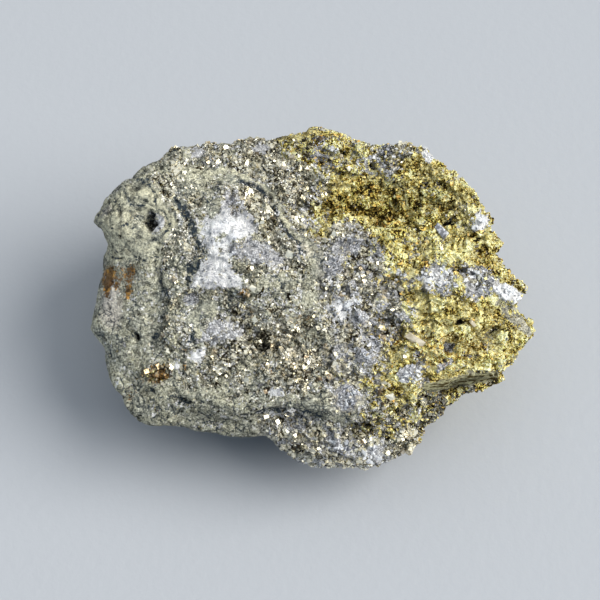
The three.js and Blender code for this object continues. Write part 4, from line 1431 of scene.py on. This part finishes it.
def addCrystal(form, layers, seat, size, draw, marks, isBlock):
    place, length, across, outward = seat
    reach = crystalPlan["shardReach"]
    corners = list(blockCorners()) if isBlock else [
        randomWay(draw) * draw.uniform(*reach) for _ in range(chipPlan["shardCorners"])]
    rise = size[2] * (0.5 - crystalPlan["sink"])
    made = []
    for corner in corners:
        x, y, z = (part + draw.uniform(-1, 1) * crystalPlan["jitter"] * 0.5 for part in corner)
        away = length * (x * size[0]) + across * (y * size[1]) + outward * (z * size[2] + rise)
        made.append(form.verts.new(place + away * millimetre))
    hull = bmesh.ops.convex_hull(form, input=made)
    inner = [item for item in hull["geom_interior"] if isinstance(item, bmesh.types.BMVert)]
    for vert in made:
        for name, value in marks.items():
            vert[layers[name]] = value
    bmesh.ops.delete(form, geom=inner, context="VERTS")


def crystalPiece(name, look, fill):
    form = bmesh.new()
    fill(form, {mark: form.verts.layers.float.new(mark) for mark in crystalPlan["marks"]})
    bmesh.ops.recalc_face_normals(form, faces=form.faces)
    mesh = meshFrom(form, name)
    mesh.materials.append(look)
    keepAboveFloor(mesh)
    piece = newPiece(name, mesh)
    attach(piece, "root")
    print(name, "made:", len(mesh.polygons), "faces")


def setCrystals(ground, entries, seed):
    def fill(form, layers):
        draw = random.Random(seed)
        for place, turn, size, shade, warmth in entries:
            seat = seatFor(ground, place, turn)
            if seat:
                stray = draw.uniform(-crystalPlan["shadeStray"], crystalPlan["shadeStray"])
                marks = {"shade": crystalPlan["shades"][shade] + stray, "warmth": warmth}
                addCrystal(form, layers, seat, size, draw, marks, True)
    return fill


def setBunches(ground, bunches, seed):
    def fill(form, layers):
        draw = random.Random(seed)
        for middle, reach, turn, count, largest, shades in bunches:
            turn = math.radians(turn)
            for _ in range(count):
                away, angle = math.sqrt(draw.random()), draw.uniform(0, math.tau)
                x, y = away * reach[0] * math.cos(angle), away * reach[1] * math.sin(angle)
                place = (middle[0] + x * math.cos(turn) - y * math.sin(turn),
                         middle[1] + x * math.sin(turn) + y * math.cos(turn))
                seat = seatFor(ground, place, draw.uniform(0, 360))
                size = largest * draw.uniform(*bunchPlan["sizes"])
                marks = {"shade": draw.uniform(*shades), "warmth": draw.random() * bunchPlan["warmth"],
                         "tone": bunchPlan["tone"]}
                if seat:
                    sides = (size, size * draw.uniform(*bunchPlan["widths"]),
                             size * draw.uniform(*bunchPlan["heights"]))
                    addCrystal(form, layers, seat, sides, draw, marks, False)
    return fill


body = makeBody(oreLook())
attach(body, "root")
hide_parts(stoneName)
looks = {}
for grainPlan in (goldPlan, pyritePlan, quartzPlan):
    mineral = grainPlan["mineral"]
    looks[mineral] = grainLook(mineral + "Facets", grainPlan)
    makeGrains(body, grainPlan, looks[mineral])

ground = BVHTree.FromPolygons([v.co for v in body.data.vertices], [p.vertices for p in body.data.polygons])
crystalPiece("quartzCrystals", looks["quartz"], setCrystals(ground, quartzCrystals, 5))
crystalPiece("pyriteCrystals", looks["pyrite"], setCrystals(ground, pyriteCrystals, 7))
crystalPiece("quartzBunches", looks["quartz"], setBunches(ground, quartzBunches, 13))
crystalPiece("pyriteBunches", looks["pyrite"], setBunches(ground, pyriteBunches, 17))


# ---- floor and light

stagePlan = {
    "floorTint": tint(186, 189, 192),
    "floorSize": 3.0,
    "floorGloss": 0.6,
    "stippleSize": 2.4,
    "stippleDepth": 0.3,
    "stippleStrength": 0.25,
    "keyAzimuth": -4.0,
    "keyElevation": 42.0,
    "keySpread": 50.0,
    "keyPower": 3.3,
    "keyTint": (1.0, 0.985, 0.965),
    "skyHigh": (0.90, 0.94, 0.98),
    "skyLow": (0.02, 0.04, 0.07),
    "skyRise": 1.7,                   # how late the sky brightens towards its top
    "frontTint": (0.5, 0.62, 0.8),    # how the sky is dimmed on the camera's side
    "frontRange": (0.1, -0.7),
}


def makeFloor():
    half = stagePlan["floorSize"] / 2
    corners = [(-half, -half, 0), (half, -half, 0), (half, half, 0), (-half, half, 0)]
    mesh = bpy.data.meshes.new("floor")
    mesh.from_pydata(corners, [], [(0, 1, 2, 3)])
    floor = newPiece("floor", mesh)
    look = newLook("floorPaint")
    stipple = noiseAt(objectPlace(), stagePlan["stippleSize"])
    mesh.materials.append(finishLook(look, {
        "Base Color": stagePlan["floorTint"],
        "Roughness": stagePlan["floorGloss"],
        "Normal": bumpOf(stipple, stagePlan["stippleStrength"], stagePlan["stippleDepth"]),
    }))


def makeKey():
    data = bpy.data.lights.new("keyLight", "SUN")
    data.angle = math.radians(stagePlan["keySpread"])
    data.energy = stagePlan["keyPower"]
    data.color = stagePlan["keyTint"]
    key = bpy.data.objects.new("keyLight", data)
    turn = math.radians(stagePlan["keyAzimuth"])
    rise = math.radians(stagePlan["keyElevation"])
    way = Vector((math.cos(turn) * math.cos(rise), math.sin(turn) * math.cos(rise), math.sin(rise)))
    key.location = way
    key.rotation_euler = (-way).to_track_quat("-Z", "Y").to_euler()
    bpy.context.scene.collection.objects.link(key)


def makeSky():
    world = bpy.data.worlds.new("studio")
    bpy.context.scene.world = world
    world.use_nodes = True
    bench["tree"] = world.node_tree
    around = put("ShaderNodeSeparateXYZ", {0: put("ShaderNodeTexCoord")["Generated"]})
    rise = calc("MAXIMUM", around["Z"], 0.0) ** stagePlan["skyRise"]
    sky = blend(rise, (*stagePlan["skyLow"], 1), (*stagePlan["skyHigh"], 1))
    front = ramp(around["Y"], *stagePlan["frontRange"])
    sky = vector("MULTIPLY", sky, blend(front, (1, 1, 1, 1), (*stagePlan["frontTint"], 1)))
    feed(world.node_tree.nodes["Background"].inputs["Color"], sky)


makeFloor()
makeKey()
makeSky()
bpy.context.scene.view_settings.view_transform = "Standard"
print("floor and light made")
